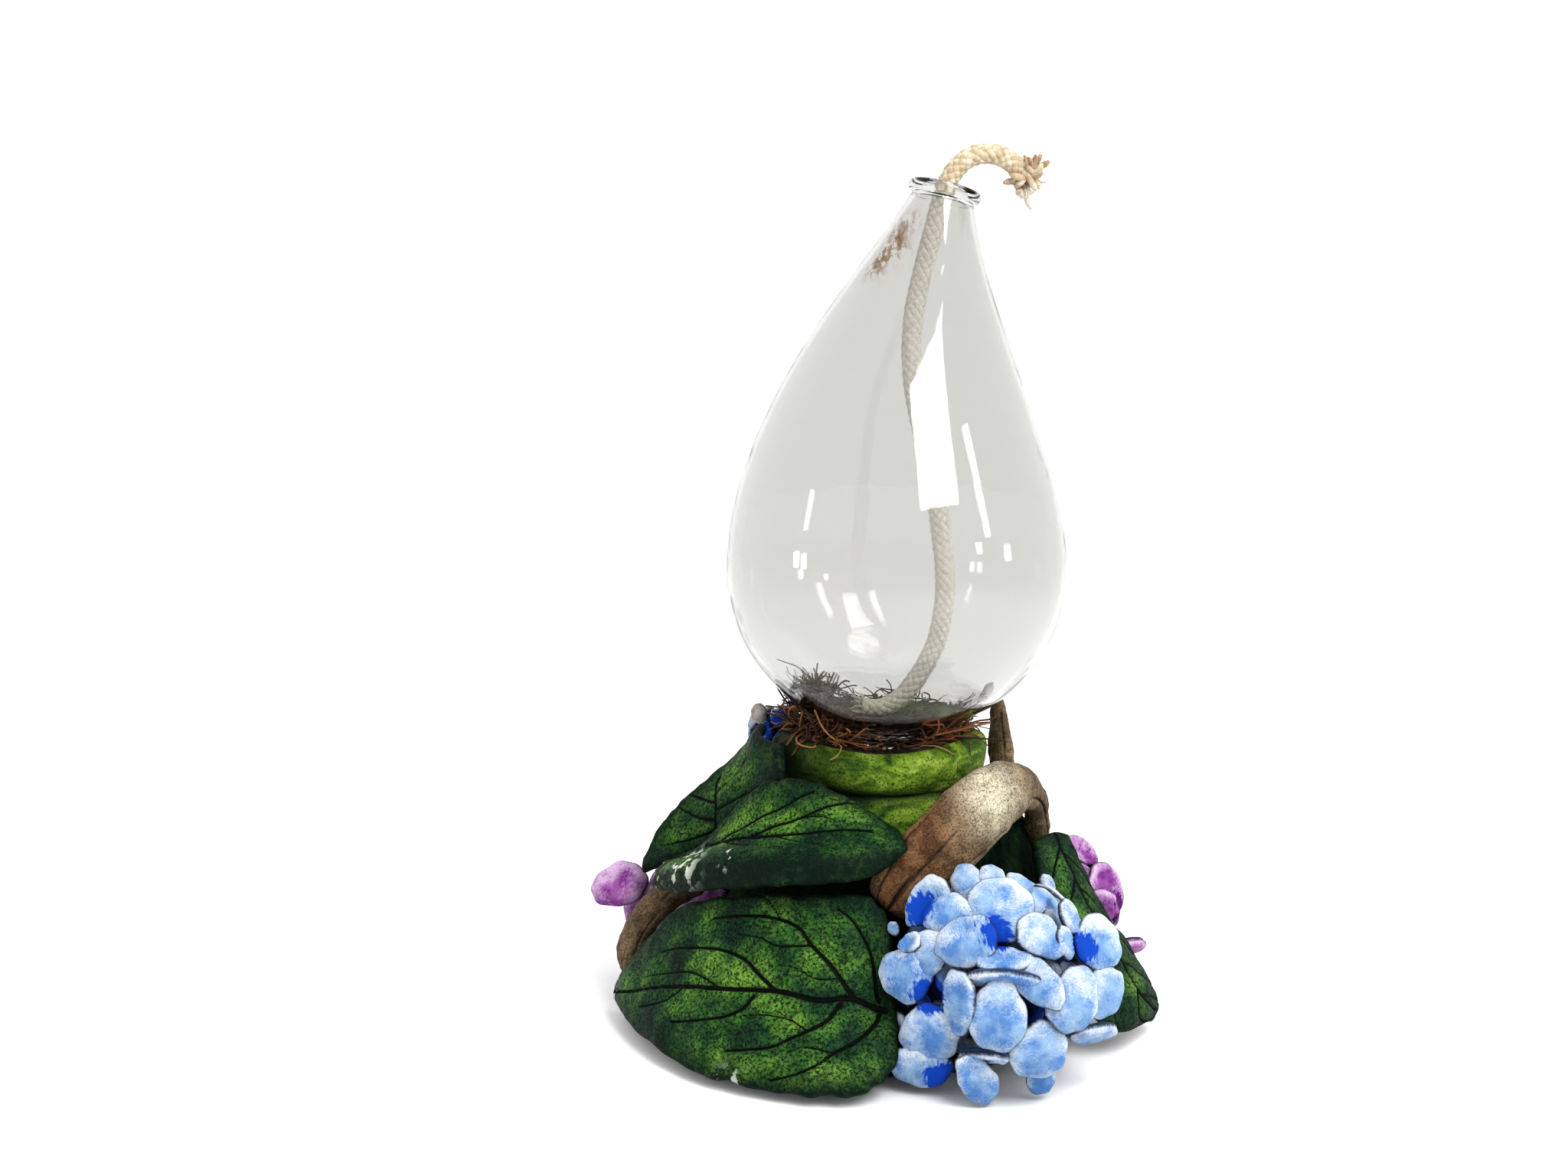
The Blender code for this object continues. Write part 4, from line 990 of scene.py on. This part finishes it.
def mound_point(degrees, z, lift):
    radius = np.interp(z, [m[0] for m in MOUND], [m[1] for m in MOUND]) + lift
    turn = math.radians(degrees)
    return (radius * math.cos(turn), radius * math.sin(turn), z)


def mound_rails(base, tip, half_width, lift, crown=3):
    rails = []
    run = math.hypot(tip[0] - base[0], tip[1] - base[1])
    for side in (-1, 0, 1):
        rail = []
        for s in np.linspace(0, 1, 8):
            spread = half_width * side * math.sin(math.pi * (0.08 + 0.88 * s) ** 0.85)
            angle = base[0] + (tip[0] - base[0]) * s - spread * (tip[1] - base[1]) / run
            height = base[1] + (tip[1] - base[1]) * s + spread * (tip[0] - base[0]) / run * 0.8
            rail.append(mound_point(angle, min(max(height, 1.6), 83), lift + (crown if side == 0 else 0)))
        rails.append(rail)
    return rails


def bunched(count, amount=0.45):
    """0 to 1, closer together towards both ends."""
    t = np.linspace(0, 1, count)
    return t * (1 - amount) + (0.5 - 0.5 * np.cos(math.pi * t)) * amount


def leaf(name, node, rails, veins, seed, rows=170, columns=120, chips=(), shaded_side=(1, 2), painted_highlight=()):
    """A thick clay leaf: pressed veins, puffed panels, rounded wavy rim, chips of bare clay, painted shade
    along its margin, its shaded side and its underside, and painted highlight patches.
    """
    us, vs = bunched(rows), bunched(columns)
    lines = np.array([smooth_curve(rail, us) for rail in rails])
    draw = np.random.default_rng(seed)
    waves = [sum(np.sin(us * TAU * k + draw.uniform(0, TAU)) for k in (3, 5, 9, 14)) for _ in range(2)]
    low, high = (0.018 * (1 + wave / 4) for wave in waves)
    spread = low[:, None] + vs[None, :] * (1 - low - high)[:, None]
    mid = np.empty((rows, columns, 3))
    for row in range(rows):
        mid[row] = smooth_curve(lines[:, row], spread[row])
    normal = unit(np.cross(np.gradient(mid, axis=0), np.gradient(mid, axis=1)))
    if (normal * (mid - (COLLAR_X, 0, 20))).sum() < 0:
        normal = -normal
    border = np.concatenate([mid[0], mid[-1], mid[:, 0], mid[:, -1]])
    rim, _ = nearest(mid, border)

    crossways = np.array(rails).transpose(1, 0, 2)
    groove, closest = np.zeros(mid.shape[:2]), np.full(mid.shape[:2], 99)
    for half, line in veins:
        fine = smooth_curve(np.array(line) / 100, np.linspace(0, 1, VEIN_STEPS))
        places = np.array([smooth_curve(smooth_curve(crossways, [u])[0], [v])[0] for u, v in fine])
        distance, index = nearest(mid, places)
        width = half * (1.05 - 0.55 * index / (VEIN_STEPS - 1))
        groove = np.maximum(groove, near(distance, width) * (0.55 + 0.45 * half / 0.85))
        closest = np.minimum(closest, distance / (0.6 + half))
    puff = 1 - near(closest, 3.2)
    body = np.sqrt(1 - (1 - np.clip(rim / 1.7, 0, 1)) ** 2)
    half = LEAF_THICKNESS / 2 * (0.22 + 0.78 * body)
    height = half + (puff * 0.45 - groove * 0.95) * body + ripple(mid, 17, seed) * 0.35 * body
    height += ripple(mid, 3.2, seed + 1) * 0.07 * body
    top = mid + normal * height[..., None]
    under = mid - normal * (half * (1 + 0.12 * ripple(mid, 9, seed + 2)))[..., None]

    count = rows * columns
    faces = grid_faces(rows, columns).tolist() + grid_faces(rows, columns, count)[:, ::-1].tolist()
    ids = np.arange(count).reshape(rows, columns)
    edge = np.concatenate([ids[0, :-1], ids[:-1, -1], ids[-1, :0:-1], ids[:0:-1, 0]])
    for a, b in zip(edge, np.roll(edge, -1)):
        faces.append([a, b, b + count, a + count][::-1])
    chip = np.zeros(mid.shape[:2])
    for place, size in chips:
        chip = np.maximum(chip, near(np.linalg.norm(mid - place, axis=2), size))
    # painted shade: darker towards the margin, over the shaded side given for each leaf and all over the
    # underside
    shade = np.clip(1.1 - rim / 6.5, 0, 1) ** 1.3
    side = np.clip((vs[None, :] - shaded_side[0]) / (shaded_side[1] - shaded_side[0]), 0, 1)
    shade = np.maximum(shade, side + 0 * shade)
    # painted highlight: lighter patches round the listed (along, across) places on the blade
    bright = np.zeros(mid.shape[:2])
    for u, v, size in painted_highlight:
        bright = np.maximum(bright, near(np.hypot((us[:, None] - u) * 1.3, vs[None, :] - v), size))
    values = {"vein": np.concatenate([groove, 0 * groove]), "rim": np.concatenate([shade, 0 * shade + 1]),
              "chip": np.concatenate([np.clip(chip * 1.3, 0, 1), chip * 0]),
              "painted_highlight": np.concatenate([bright, bright * 0])}
    return make_piece(name, np.concatenate([top.reshape(-1, 3), under.reshape(-1, 3)]), faces, LEAF, "base",
                      (node,), values)


leaf("veined_leaf_front", "leaf_front", LEAF_FRONT, VEINS_FRONT, 51, 230, 170,
     chips=(((-74, -8, 8), 4), ((-40, -69, 3), 4)), shaded_side=(0.9, 1.1),
     painted_highlight=((0.3, 0.4, 0.16), (0.52, 0.36, 0.14), (0.4, 0.62, 0.12), (0.62, 0.9, 0.12), (0.36, 0.88, 0.1)))
leaf("veined_leaf_middle", "leaf_middle", LEAF_MIDDLE, VEINS_MIDDLE, 52, 190, 140,
     chips=(((-52, -27, 50), 6), ((-40, -41, 56), 2.5), ((-60, -12, 44), 5)), shaded_side=(0.6, 0.74),
     painted_highlight=((0.58, 0.22, 0.16), (0.8, 0.15, 0.12), (0.36, 0.16, 0.12)))
leaf("veined_leaf_left", "leaf_left", LEAF_LEFT, VEINS_LEFT, 53, 150, 110, shaded_side=(0.72, 0.92),
     painted_highlight=((0.45, 0.3, 0.25), (0.75, 0.45, 0.22)))
leaf("veined_leaf_right", "leaf_right", LEAF_RIGHT, feather_veins(5), 54, 150, 110, shaded_side=(0.45, 1))
for index, (node, (base, tip, half_width, lift)) in enumerate(LAID_LEAVES.items()):
    rails = mound_rails(base, tip, half_width, lift)
    leaf("veined_" + node, node, rails, feather_veins(6), 60 + index, 130, 100)


# Branches

BRANCHES = {
    "branch_arch": (
        (2.5, -45.5, 43, 7.6, 3), (9, -45.5, 52, 8.8, 3.4), (17.5, -44, 60, 10.2, 3.6),
        (27, -38.5, 67.5, 10.4, 4), (36, -29, 71.5, 8.8, 4.2), (43.5, -17, 70, 6, 4.2),
        (48, -7.5, 63, 4, 3.8), (49.3, -2.5, 55, 3.6, 3.4), (49.6, 0.5, 46, 3.6, 3.2),
    ),
    "branch_upright": (
        (41.5, 13, 58, 4.8, 3.4), (41.5, 15, 68, 4.8, 3.6), (41, 17.5, 76, 4.6, 3.6),
        (40.6, 20, 84, 2.8, 2.6), (40.4, 21.5, 90.6, 1.6, 1.5),
    ),
    "root_left": (
        (-50, 3, 37.5, 4.2, 3.4), (-58.5, 2.5, 34, 6.4, 4.2), (-66.5, 2, 27, 7.4, 4.6),
        (-71, 2.5, 17, 6.2, 4.2), (-70.5, 5.5, 7, 4, 3.4),
    ),
    "root_back": (
        (-0.5, 51, 30, 3, 2.8), (-1.5, 58.5, 23, 3.8, 3.2), (-1.5, 65.5, 14.5, 4.4, 3.6),
        (0, 70, 5.5, 3.6, 3.2),
    ),
}
# Grooves pressed along each branch: angle round it in degrees, drift, depth in millimetres.
BARK_GROOVES = ((70, 25, 0.8), (108, -20, 0.65), (40, 10, 0.5), (150, 30, 0.6), (200, 0, 0.5), (290, 20, 0.5))


def branch(name, node, spine, seed, rows=190, sides=96):
    spine = np.array(spine)
    s = np.linspace(0, 1, rows)
    data = smooth_curve(spine, s)
    centre, size = data[:, :3], data[:, 3:]
    ahead = ahead_along(centre)
    out = unit(centre * (1, 1, 0) + (-COLLAR_X, 0, 12))
    out = unit(out - ahead * (out * ahead).sum(axis=1, keepdims=True))
    side = np.cross(ahead, out)
    turn = full_turn(sides)
    loops = (centre[:, None] + side[:, None] * (size[:, :1] * np.cos(turn))[..., None]
             + out[:, None] * (size[:, 1:] * np.sin(turn))[..., None])
    away = unit(loops - centre[:, None])
    groove = np.zeros(loops.shape[:2])
    for degrees, drift, depth in BARK_GROOVES:
        middle = np.radians(degrees + drift * np.sin(s * 5 + degrees))[:, None]
        off = np.abs((turn[None, :] - middle + math.pi) % TAU - math.pi) * size.mean(axis=1)[:, None]
        strength = depth * np.clip(np.sin(s * 7 + degrees * 0.3) + 0.6, 0, 1)[:, None]
        groove = np.maximum(groove, near(off, 0.42) * strength)
    close = np.clip(np.minimum(s, 1 - s) / 0.035, 0, 1)[:, None]
    rounding = np.sqrt(1 - (1 - close) ** 2)
    height = -groove + ripple(loops, 14, seed) * 0.45 + ripple(loops, 4, seed + 1) * 0.13
    loops = (centre[:, None] + (loops - centre[:, None]) * (0.25 + 0.75 * rounding)[..., None]
             + away * (height * rounding)[..., None])
    vertices, faces = closed_loops(loops)
    run = np.cumsum(np.append(0, np.linalg.norm(np.diff(centre, axis=0), axis=1)))
    uv = np.stack([np.tile(turn * 4, rows), np.repeat(run, sides)], -1)
    uv = np.concatenate([uv, [[0, 0], [0, 0]]])
    top = ripple(vertices, 9, seed + 5)
    cream = near(np.linalg.norm((vertices - (31, -39, 73.5)) / (1.3, 1.3, 1), axis=1) - 2 * top, 9) * 1.1
    rust = np.clip((27 + 2 * top - vertices[:, 0]) / 13, 0, 1) * (vertices[:, 0] > 0)
    values = {"groove": np.append(groove.ravel() / 0.8, [0, 0]), "cream": np.clip(cream, 0, 1),
              "rust": rust * (node == "branch_arch")}
    return make_piece(name, vertices, faces, BARK, "base", (node,), values, uv)


for index, (node, spine) in enumerate(BRANCHES.items()):
    branch("grooved_" + node, node, spine, 70 + index)


# Flowers

PETAL_RINGS, PETAL_SIDES = 22, 84

# Petals as (offset from the flower's middle), facing, roll of the outer end, half-length, half-width, cup.
BLUE_PETALS = (
    ((-9, -9, 27), (-0.3, -0.55, 0.8), 28, 5.6, 4, -0.8),
    ((-2, -10, 28), (0.1, -0.6, 0.8), 0, 4.4, 3.2, -0.6),
    ((-19, -11, 22), (-0.6, -0.7, 0.5), -25, 6.8, 5.2, 1),
    ((-24, -17, 13), (-0.6, -0.6, 0.5), -60, 3.2, 2.4, 0.3),
    ((-20, -20, 11), (-0.5, -0.8, 0.2), -10, 6, 4.6, -1),
    ((-26, -18, 5), (-0.55, -0.85, 0.2), -85, 7, 6.6, -1.2),
    ((-27, -11, -11), (-0.8, -0.6, -0.2), -110, 4.4, 3.6, -0.6),
    ((-13, -28, 1), (-0.75, -0.65, 0.1), 8, 7.6, 4.8, -0.8),
    ((-20, -22, -10), (-0.4, -0.9, -0.1), -50, 8, 7, -1.4),
    ((-22, -20, -19), (-0.3, -0.9, -0.15), -80, 7.6, 5.6, -1),
    ((-8, -27, -19), (0.1, -0.95, -0.1), -150, 6.8, 4.4, 0.6),
    ((-6, -27, -13), (-0.2, -0.5, -0.85), 115, 6.8, 3.6, 0.6),
    ((9, -24, -20), (0.2, -0.9, -0.3), -160, 5.2, 3.6, -0.5),
    ((24, -18, -11), (0.3, -0.6, -0.75), 72, 7.4, 4.2, -0.6),
    ((25, -19, 1), (0.5, -0.8, 0.1), 120, 6.6, 6, 1),
    ((24, -17, 13), (0.4, -0.85, 0.3), 45, 6.6, 6.2, 1),
    ((17, -18, 20), (0.75, -0.6, 0.4), 8, 4.4, 3, -0.4),
    ((15, -23, 15), (0.8, -0.6, 0.3), 0, 4, 2.6, -0.3),
    ((9, -24, 17), (0.25, -0.8, 0.55), 50, 6.2, 5.2, -0.6),
    ((-15, -18, 21), (-0.4, -0.8, 0.5), -75, 6.2, 5, -1),
    ((-1, -20, 23), (0, -0.85, 0.5), 5, 7.8, 7.6, -1.2),
    ((-11, -25, 16), (-0.35, -0.85, 0.4), -65, 7.6, 5.8, -1.2),
    ((-1, -27, 12), (0.05, -0.55, 0.85), 90, 7, 3.6, -0.5),
    ((-2, -29, 8), (-0.1, -0.7, -0.7), 92, 8.2, 3.4, 0.4),
    ((17, -28, 2), (0.4, -0.85, 0.3), 140, 8.2, 6.4, -1.2),
    ((7, -30, 7), (-0.2, -0.8, 0.5), 52, 7.8, 4.6, -1),
    ((8, -30, -11), (0.2, -0.95, -0.15), 160, 7.4, 7, -1.2),
    ((-3, -32, -1), (-0.1, -0.95, 0.2), 170, 8.2, 6.6, -1.4),
)
VIOLET_RIGHT_PETALS = (
    ((3, 0, 17), (0.4, -0.5, 0.7), 20, 5.2, 4.4, 0.8),
    ((9, -6, 7), (0.55, -0.75, 0.25), 30, 7.2, 6.4, 1.2),
    ((17, -7, -11), (0.3, -0.6, -0.75), 75, 6.6, 4.2, -0.4),
)
VIOLET_LEFT_PETALS = (((-22.5, -13, 8), (-0.3, -0.85, 0.3), -72, 8.2, 6.2, -1),)
VIOLET_LOW_PETALS = (((-16, -11, 1), (-0.2, -0.9, -0.2), -25, 7.5, 4.4, -0.6),)
PETAL_THICKNESS = 2.7
# Stray dabs and small petals seen beside the blue flower.
SMALL_PETALS = (
    ((16.6, 18, 19), (0.5, -0.7, 0.45), 10, 2.7, 2, -0.3),
    ((-27.8, -5.6, 13.4), (0.1, -0.95, 0.3), 20, 1.8, 1.4, -0.2),
    ((5, -9, 26.5), (0.4, -0.7, 0.6), 60, 3.6, 2.6, -0.4),
)


def petal_axes(facing, roll):
    """A petal's facing, its direction to the outer end and its sideways direction."""
    facing = unit(np.array(facing, float))
    up = np.array([0, 0, 1]) - facing * facing[2]
    up = unit(up) if np.linalg.norm(up) > 0.05 else np.array([0, 1, 0])
    right = np.cross(facing, up)
    tip = up * math.cos(math.radians(roll)) + right * math.sin(math.radians(roll))
    return facing, tip, np.cross(facing, tip)


def petal_outline(long, wide):
    turn = full_turn(PETAL_SIDES)
    return np.cos(turn) * long, np.sin(turn) * wide * (0.97 + 0.14 * np.cos(turn))


# The blue florets' eyes, where the deep blue paint pools.
FLORETS = np.array([
    (28.1, -73, 44.7), (50.7, -68, 39.1), (40, -74, 25.5), (12.1, -71, 27.8), (15.5, -71, 5.5),
    (10.5, -62, 48), (27, -75, 21), (44, -67, 13),
])


def petal_mesh(name, centre, axes, size, cup, finish, seed, head, replaces, deep_at, dim=0):
    """A pillowy clay petal: dished face, rolled rim, brushed ridges, paint pooled at the floret's eye, white
    dry-brush with painted highlight on the rim and upper side, and painted shade underneath, on its lower
    side and deep in the head.
    """
    facing, right, up = axes
    x, y = petal_outline(*size)
    radial = np.sin(np.linspace(0, math.pi / 2, PETAL_RINGS))
    turn = full_turn(PETAL_SIDES)
    draw = np.random.default_rng(seed)
    wobble = 1 + 0.022 * sum(np.sin(turn * k + draw.uniform(0, TAU)) for k in (2, 3, 5, 8))
    rolled = wobble[None, :] * radial[:, None]
    flat = (x * rolled)[..., None] * right + (y * rolled)[..., None] * up
    bend = cup * radial**2
    pillow = np.sqrt(np.clip(1 - radial**7, 0, 1))
    dish = 0.55 * (radial**2) * (1 - radial**4) * 1.6 - 0.25
    tilt = draw.uniform(0, TAU)
    crease = near(np.cos(turn - tilt) * radial[:, None] * math.hypot(x.max(), y.max()), 1.3)
    crease = crease * np.clip(np.sin(turn - tilt), 0, 1) * radial[:, None]
    middle = centre + flat + facing * bend[:, None, None]
    lumps = ripple(middle, 9, seed) * 0.22 + ripple(middle, 3, seed + 1) * 0.08
    ridge_way = right * math.cos(draw.uniform(-0.4, 0.4)) + up * math.sin(draw.uniform(-0.4, 0.4))
    ridges = np.sin((middle @ ridge_way) * 7.5 + ripple(middle, 6, seed + 2) * 3) * 0.045
    upper = PETAL_THICKNESS / 2 + dish[:, None] + lumps + ridges - crease * 0.35
    lower = PETAL_THICKNESS / 2 + lumps * 0.5
    top = middle + facing * (upper * pillow[:, None])[..., None]
    bottom = middle - facing * (lower * pillow[:, None])[..., None]
    loops = np.concatenate([top, bottom[-2::-1]])
    vertices, faces = closed_loops(loops)
    edge = np.concatenate([radial, radial[-2::-1]]) ** 3
    under = np.concatenate([np.zeros(PETAL_RINGS), np.ones(PETAL_RINGS - 1)])

    def repeat(row):
        return np.append(np.repeat(row, PETAL_SIDES), [row[0], row[-1]])

    eye, _ = nearest(vertices, np.asarray(deep_at, float))
    reach = np.linalg.norm(vertices - head, axis=1) / np.linalg.norm(centre - head)
    sunk = np.clip(1 - (reach - 0.86) / 0.1, 0, 1)
    # deep: the paint pooled at the floret eyes, plus painted shade as deeper blue on the undersides of petals
    # sunk in the head
    deep = np.clip(near(eye, 5.2) * 1.1 + repeat(under) * sunk * 0.45, 0, 1)
    low = np.clip(-(unit(vertices - centre) @ np.array([0.1, 0.25, 1])) * 1.1 - 0.35, 0, 1)
    shade = np.clip(repeat(under) * 0.8 + sunk * 0.6 + low * 0.25 + dim, 0, 1)
    rise = (vertices - centre)[:, 2] / max(x.max(), 1)
    # partly white dry-brush, partly painted highlight: more on the rim and the upper side, less underneath
    crown = np.clip(0.3 + repeat(edge) * 0.55 + 0.25 * rise - repeat(under) * 0.6, 0, 1)
    across, along = (vertices - centre) @ ridge_way, (vertices - centre) @ np.cross(facing, ridge_way)
    values = {"deep": deep, "shade": shade, "crown": crown, "edge": repeat(edge)}
    return make_piece(name, vertices, faces, finish, "base", replaces, values,
                      np.stack([across, along], 1) + draw.uniform(0, 50, 2))


PETAL_FULLNESS = 1.14


def placed_petals(prefix, rows, head, finish, seed, replace, deep_at):
    """One petal per table row, where replace is set in the place of the CAD petal of that number."""
    for index, (offset, facing, roll, long, wide, cup) in enumerate(rows, 1):
        node = f"{prefix}_petal_{index:02d}"
        petal_mesh(f"painted_{node}", head + np.array(offset, float), petal_axes(facing, roll),
                   (long * PETAL_FULLNESS, wide * PETAL_FULLNESS), cup, finish, seed + index * 3, head,
                   (node,) if replace else (), deep_at)


def scatter(prefix, centre, radii, count, size, spacing, taken, finish, seed, keep, deep_at,
            cup=-0.8, dim=0):
    """Petals spread evenly over an ellipsoid wherever no petal is yet."""
    draw = np.random.default_rng(seed)
    golden_turn = math.pi * (3 - math.sqrt(5))
    taken, made = list(taken), 0
    for index in range(count):
        z = 1 - 2 * (index + 0.5) / count
        turn, flat = index * golden_turn, math.sqrt(1 - z * z)
        way = np.array([flat * math.cos(turn), flat * math.sin(turn), z])
        place = centre + way * radii
        if not keep(place) or (taken and np.linalg.norm(np.array(taken) - place, axis=1).min() < spacing):
            continue
        facing = unit(way / radii + draw.normal(size=3) * 0.012)
        right = unit(np.cross(facing, draw.normal(size=3)))
        up = np.cross(facing, right)
        long, wide = size * draw.uniform(0.9, 1.15), size * draw.uniform(0.75, 1)
        made += 1
        petal_mesh(f"{prefix}_{made:02d}", place, (facing, right, up), (long, wide), cup, finish,
                   seed + made * 3, centre, (), deep_at, dim)
        taken.append(place)


def flower_core(name, node, centre, radii, finish, seed):
    """The rough clay ball under a flower's petals."""
    loops, way = ball(centre, radii)
    loops = loops + way * (ripple(loops, 8, seed) * 0.6)[..., None]
    vertices, faces = closed_loops(loops)
    eye, _ = nearest(vertices, FLORETS)
    zero = np.zeros(len(vertices))
    # painted shade: the ball under the petals is painted all over in the shade colour and the dark edge line,
    # with deep blue near the floret eyes
    make_piece(name, vertices, faces, finish, "base", (node,),
               {"deep": near(eye, 9), "shade": zero + 1, "crown": zero, "edge": zero + 1})


BLUE_HEAD = np.array([31.5, -49, 27])
placed_petals("blue", BLUE_PETALS, BLUE_HEAD, BLUE, 100, True, FLORETS)
placed_petals("small_blue", SMALL_PETALS, BLUE_HEAD, BLUE, 200, False, FLORETS)
flower_core("blue_head_clay", "blue_head_core", (31.5, -52, 28.5), (24, 20.5, 21.3), BLUE, 81)
blue_centres = BLUE_HEAD + np.array([row[0] for row in BLUE_PETALS], float)
# painted shade: the under petals that fill the gaps are darkened by dim
scatter("blue_under_petal", np.array([31.5, -51.5, 28]), np.array([25.2, 21.6, 22.4]), 110, 6.2, 7.6, (),
        BLUE, 250, lambda p: p[1] < -46 and p[2] > 8, FLORETS, dim=0.55)
scatter("blue_side_petal", np.array([31.5, -50, 28.5]), np.array([25.5, 22, 23]), 70, 6.4, 9.5, blue_centres,
        BLUE, 300, lambda p: p[1] > -62 and (p[2] > 44 or p[0] > 46) and p[2] < 50, FLORETS)

VIOLET_RIGHT = np.array([64, 24, 24])
VIOLET_LEFT = np.array([-54, 29, 25])
for side, head, rows, seed in (("right", VIOLET_RIGHT, VIOLET_RIGHT_PETALS, 500),
                               ("left", VIOLET_LEFT, VIOLET_LEFT_PETALS, 600)):
    eyes = head + np.array([(12, -8, 2), (-8, 12, 4), (2, 3, 15), (10, 10, -2), (-12, -6, -2)])
    placed_petals(f"violet_{side}", rows, head, VIOLET, seed, True, eyes)
    flower_core(f"violet_{side}_clay", f"violet_head_{side}", head, (10.5, 10.5, 12), VIOLET,
                seed + 50)
    scatter(f"violet_{side}_round_petal", head, np.array([13.5, 13.5, 15]), 26, 6.4, 6.8,
            head + np.array([row[0] for row in rows], float), VIOLET, seed + 100,
            lambda p: p[2] > 5, eyes)

placed_petals("violet_low", VIOLET_LOW_PETALS, VIOLET_LEFT, VIOLET, 640, False,
              np.array([(-66, 16, 24)]))

BUDS = np.array([-27.5, 29, 79])
flower_core("bud_cluster_clay", "bud_cluster", BUDS, (6, 4, 4.6), BLUE, 91)
scatter("small_blue_petal", BUDS, np.array([8, 5.4, 6.2]), 16, 3.1, 3.4, (), BLUE, 700,
        lambda p: p[2] > 75, np.array([(-27.5, 22, 80), (-22, 26, 84)]), cup=-0.3)


BEAD_GAP = 0.05


def make_bead():
    """The pale bud, with a dimple in its lower end."""
    loops, way = ball((-33, 16.5, 86), (2.4, 2.4, 3.2), 40, 48, BEAD_GAP)
    tilt = np.linspace(BEAD_GAP, math.pi - BEAD_GAP, 40)[:, None]
    loops = loops + way * (ripple(loops, 3, 95) * 0.15 - 0.35 * near(tilt, 0.35))[..., None]
    vertices, faces = closed_loops(loops)
    make_piece("pale_clay_bead", vertices, faces, BEAD, "base", ("pale_bud",))


make_bead()


# Floor, light


FLOOR_REACH, FLOOR_DROP = 4, 0.0002
# Softboxes and strips: place, what it points at, size in metres, watts.
SOFTBOXES = {
    "window": ((0.24, -0.46, 0.54), (0.015, -0.04, 0.17), (0.3, 0.34), 2.6),
    "tall_strip": ((0.5, -0.31, 0.4), (0.026, -0.04, 0.16), (0.05, 0.28), 0.45),
    "small_right": ((0.5, -0.4, 0.23), (0.026, -0.045, 0.14), (0.04, 0.05), 0.1),
    "small_far_right": ((0.61, -0.19, 0.19), (0.035, -0.04, 0.14), (0.05, 0.06), 0.14),
    "small_left": ((-0.58, -0.285, 0.157), (-0.021, -0.04, 0.137), (0.035, 0.06), 0.1),
    "small_far_left": ((-0.58, -0.215, 0.157), (-0.021, -0.04, 0.137), (0.035, 0.06), 0.1),
    "left_strip": ((-0.55, -0.26, 0.35), (-0.021, -0.04, 0.16), (0.03, 0.14), 0.1),
}
SUN_STRENGTH, SUN_SPREAD, SUN_FROM = 0.6, 20, (0.35, -0.35, 1)


def link(thing):
    bpy.context.scene.collection.objects.link(thing)
    return thing


def towards(way):
    return Vector(way).to_track_quat("-Z", "Y").to_euler()


def make_floor():
    p = Paint("pale_floor", 0.85)
    p.colour = (0.86, 0.86, 0.86)
    p.coat((0.9, 0.9, 0.9), p.noise(0.01, 3))
    corners = [(x * FLOOR_REACH, y * FLOOR_REACH, 0) for x, y in ((-1, -1), (1, -1), (1, 1), (-1, 1))]
    mesh = bpy.data.meshes.new("floor")
    mesh.from_pydata(corners, [], [(0, 1, 2, 3)])
    mesh.materials.append(p.finish())
    floor = link(bpy.data.objects.new("floor", mesh))
    floor.location.z = -FLOOR_DROP


def make_lights():
    for name, (place, target, size, watts) in SOFTBOXES.items():
        light = bpy.data.lights.new(name, "AREA")
        light.shape = "RECTANGLE"
        light.size, light.size_y = size
        light.energy = watts
        made = link(bpy.data.objects.new(name, light))
        made.location = place
        made.rotation_euler = towards(Vector(target) - Vector(place))
    sun = link(bpy.data.objects.new("sun", bpy.data.lights.new("sun", "SUN")))
    sun.data.energy = SUN_STRENGTH
    sun.data.angle = math.radians(SUN_SPREAD)
    sun.rotation_euler = towards(-Vector(SUN_FROM))


def make_world():
    world = bpy.data.worlds.new("studio")
    world.use_nodes = True
    backdrop = world.node_tree.nodes["Background"]
    backdrop.inputs["Color"].default_value = (1, 1, 1, 1)
    backdrop.inputs["Strength"].default_value = 1
    bpy.context.scene.world = world
    bpy.context.scene.view_settings.view_transform = "Standard"
    bpy.context.scene.view_settings.look = "Medium High Contrast"


make_floor()
make_lights()
make_world()
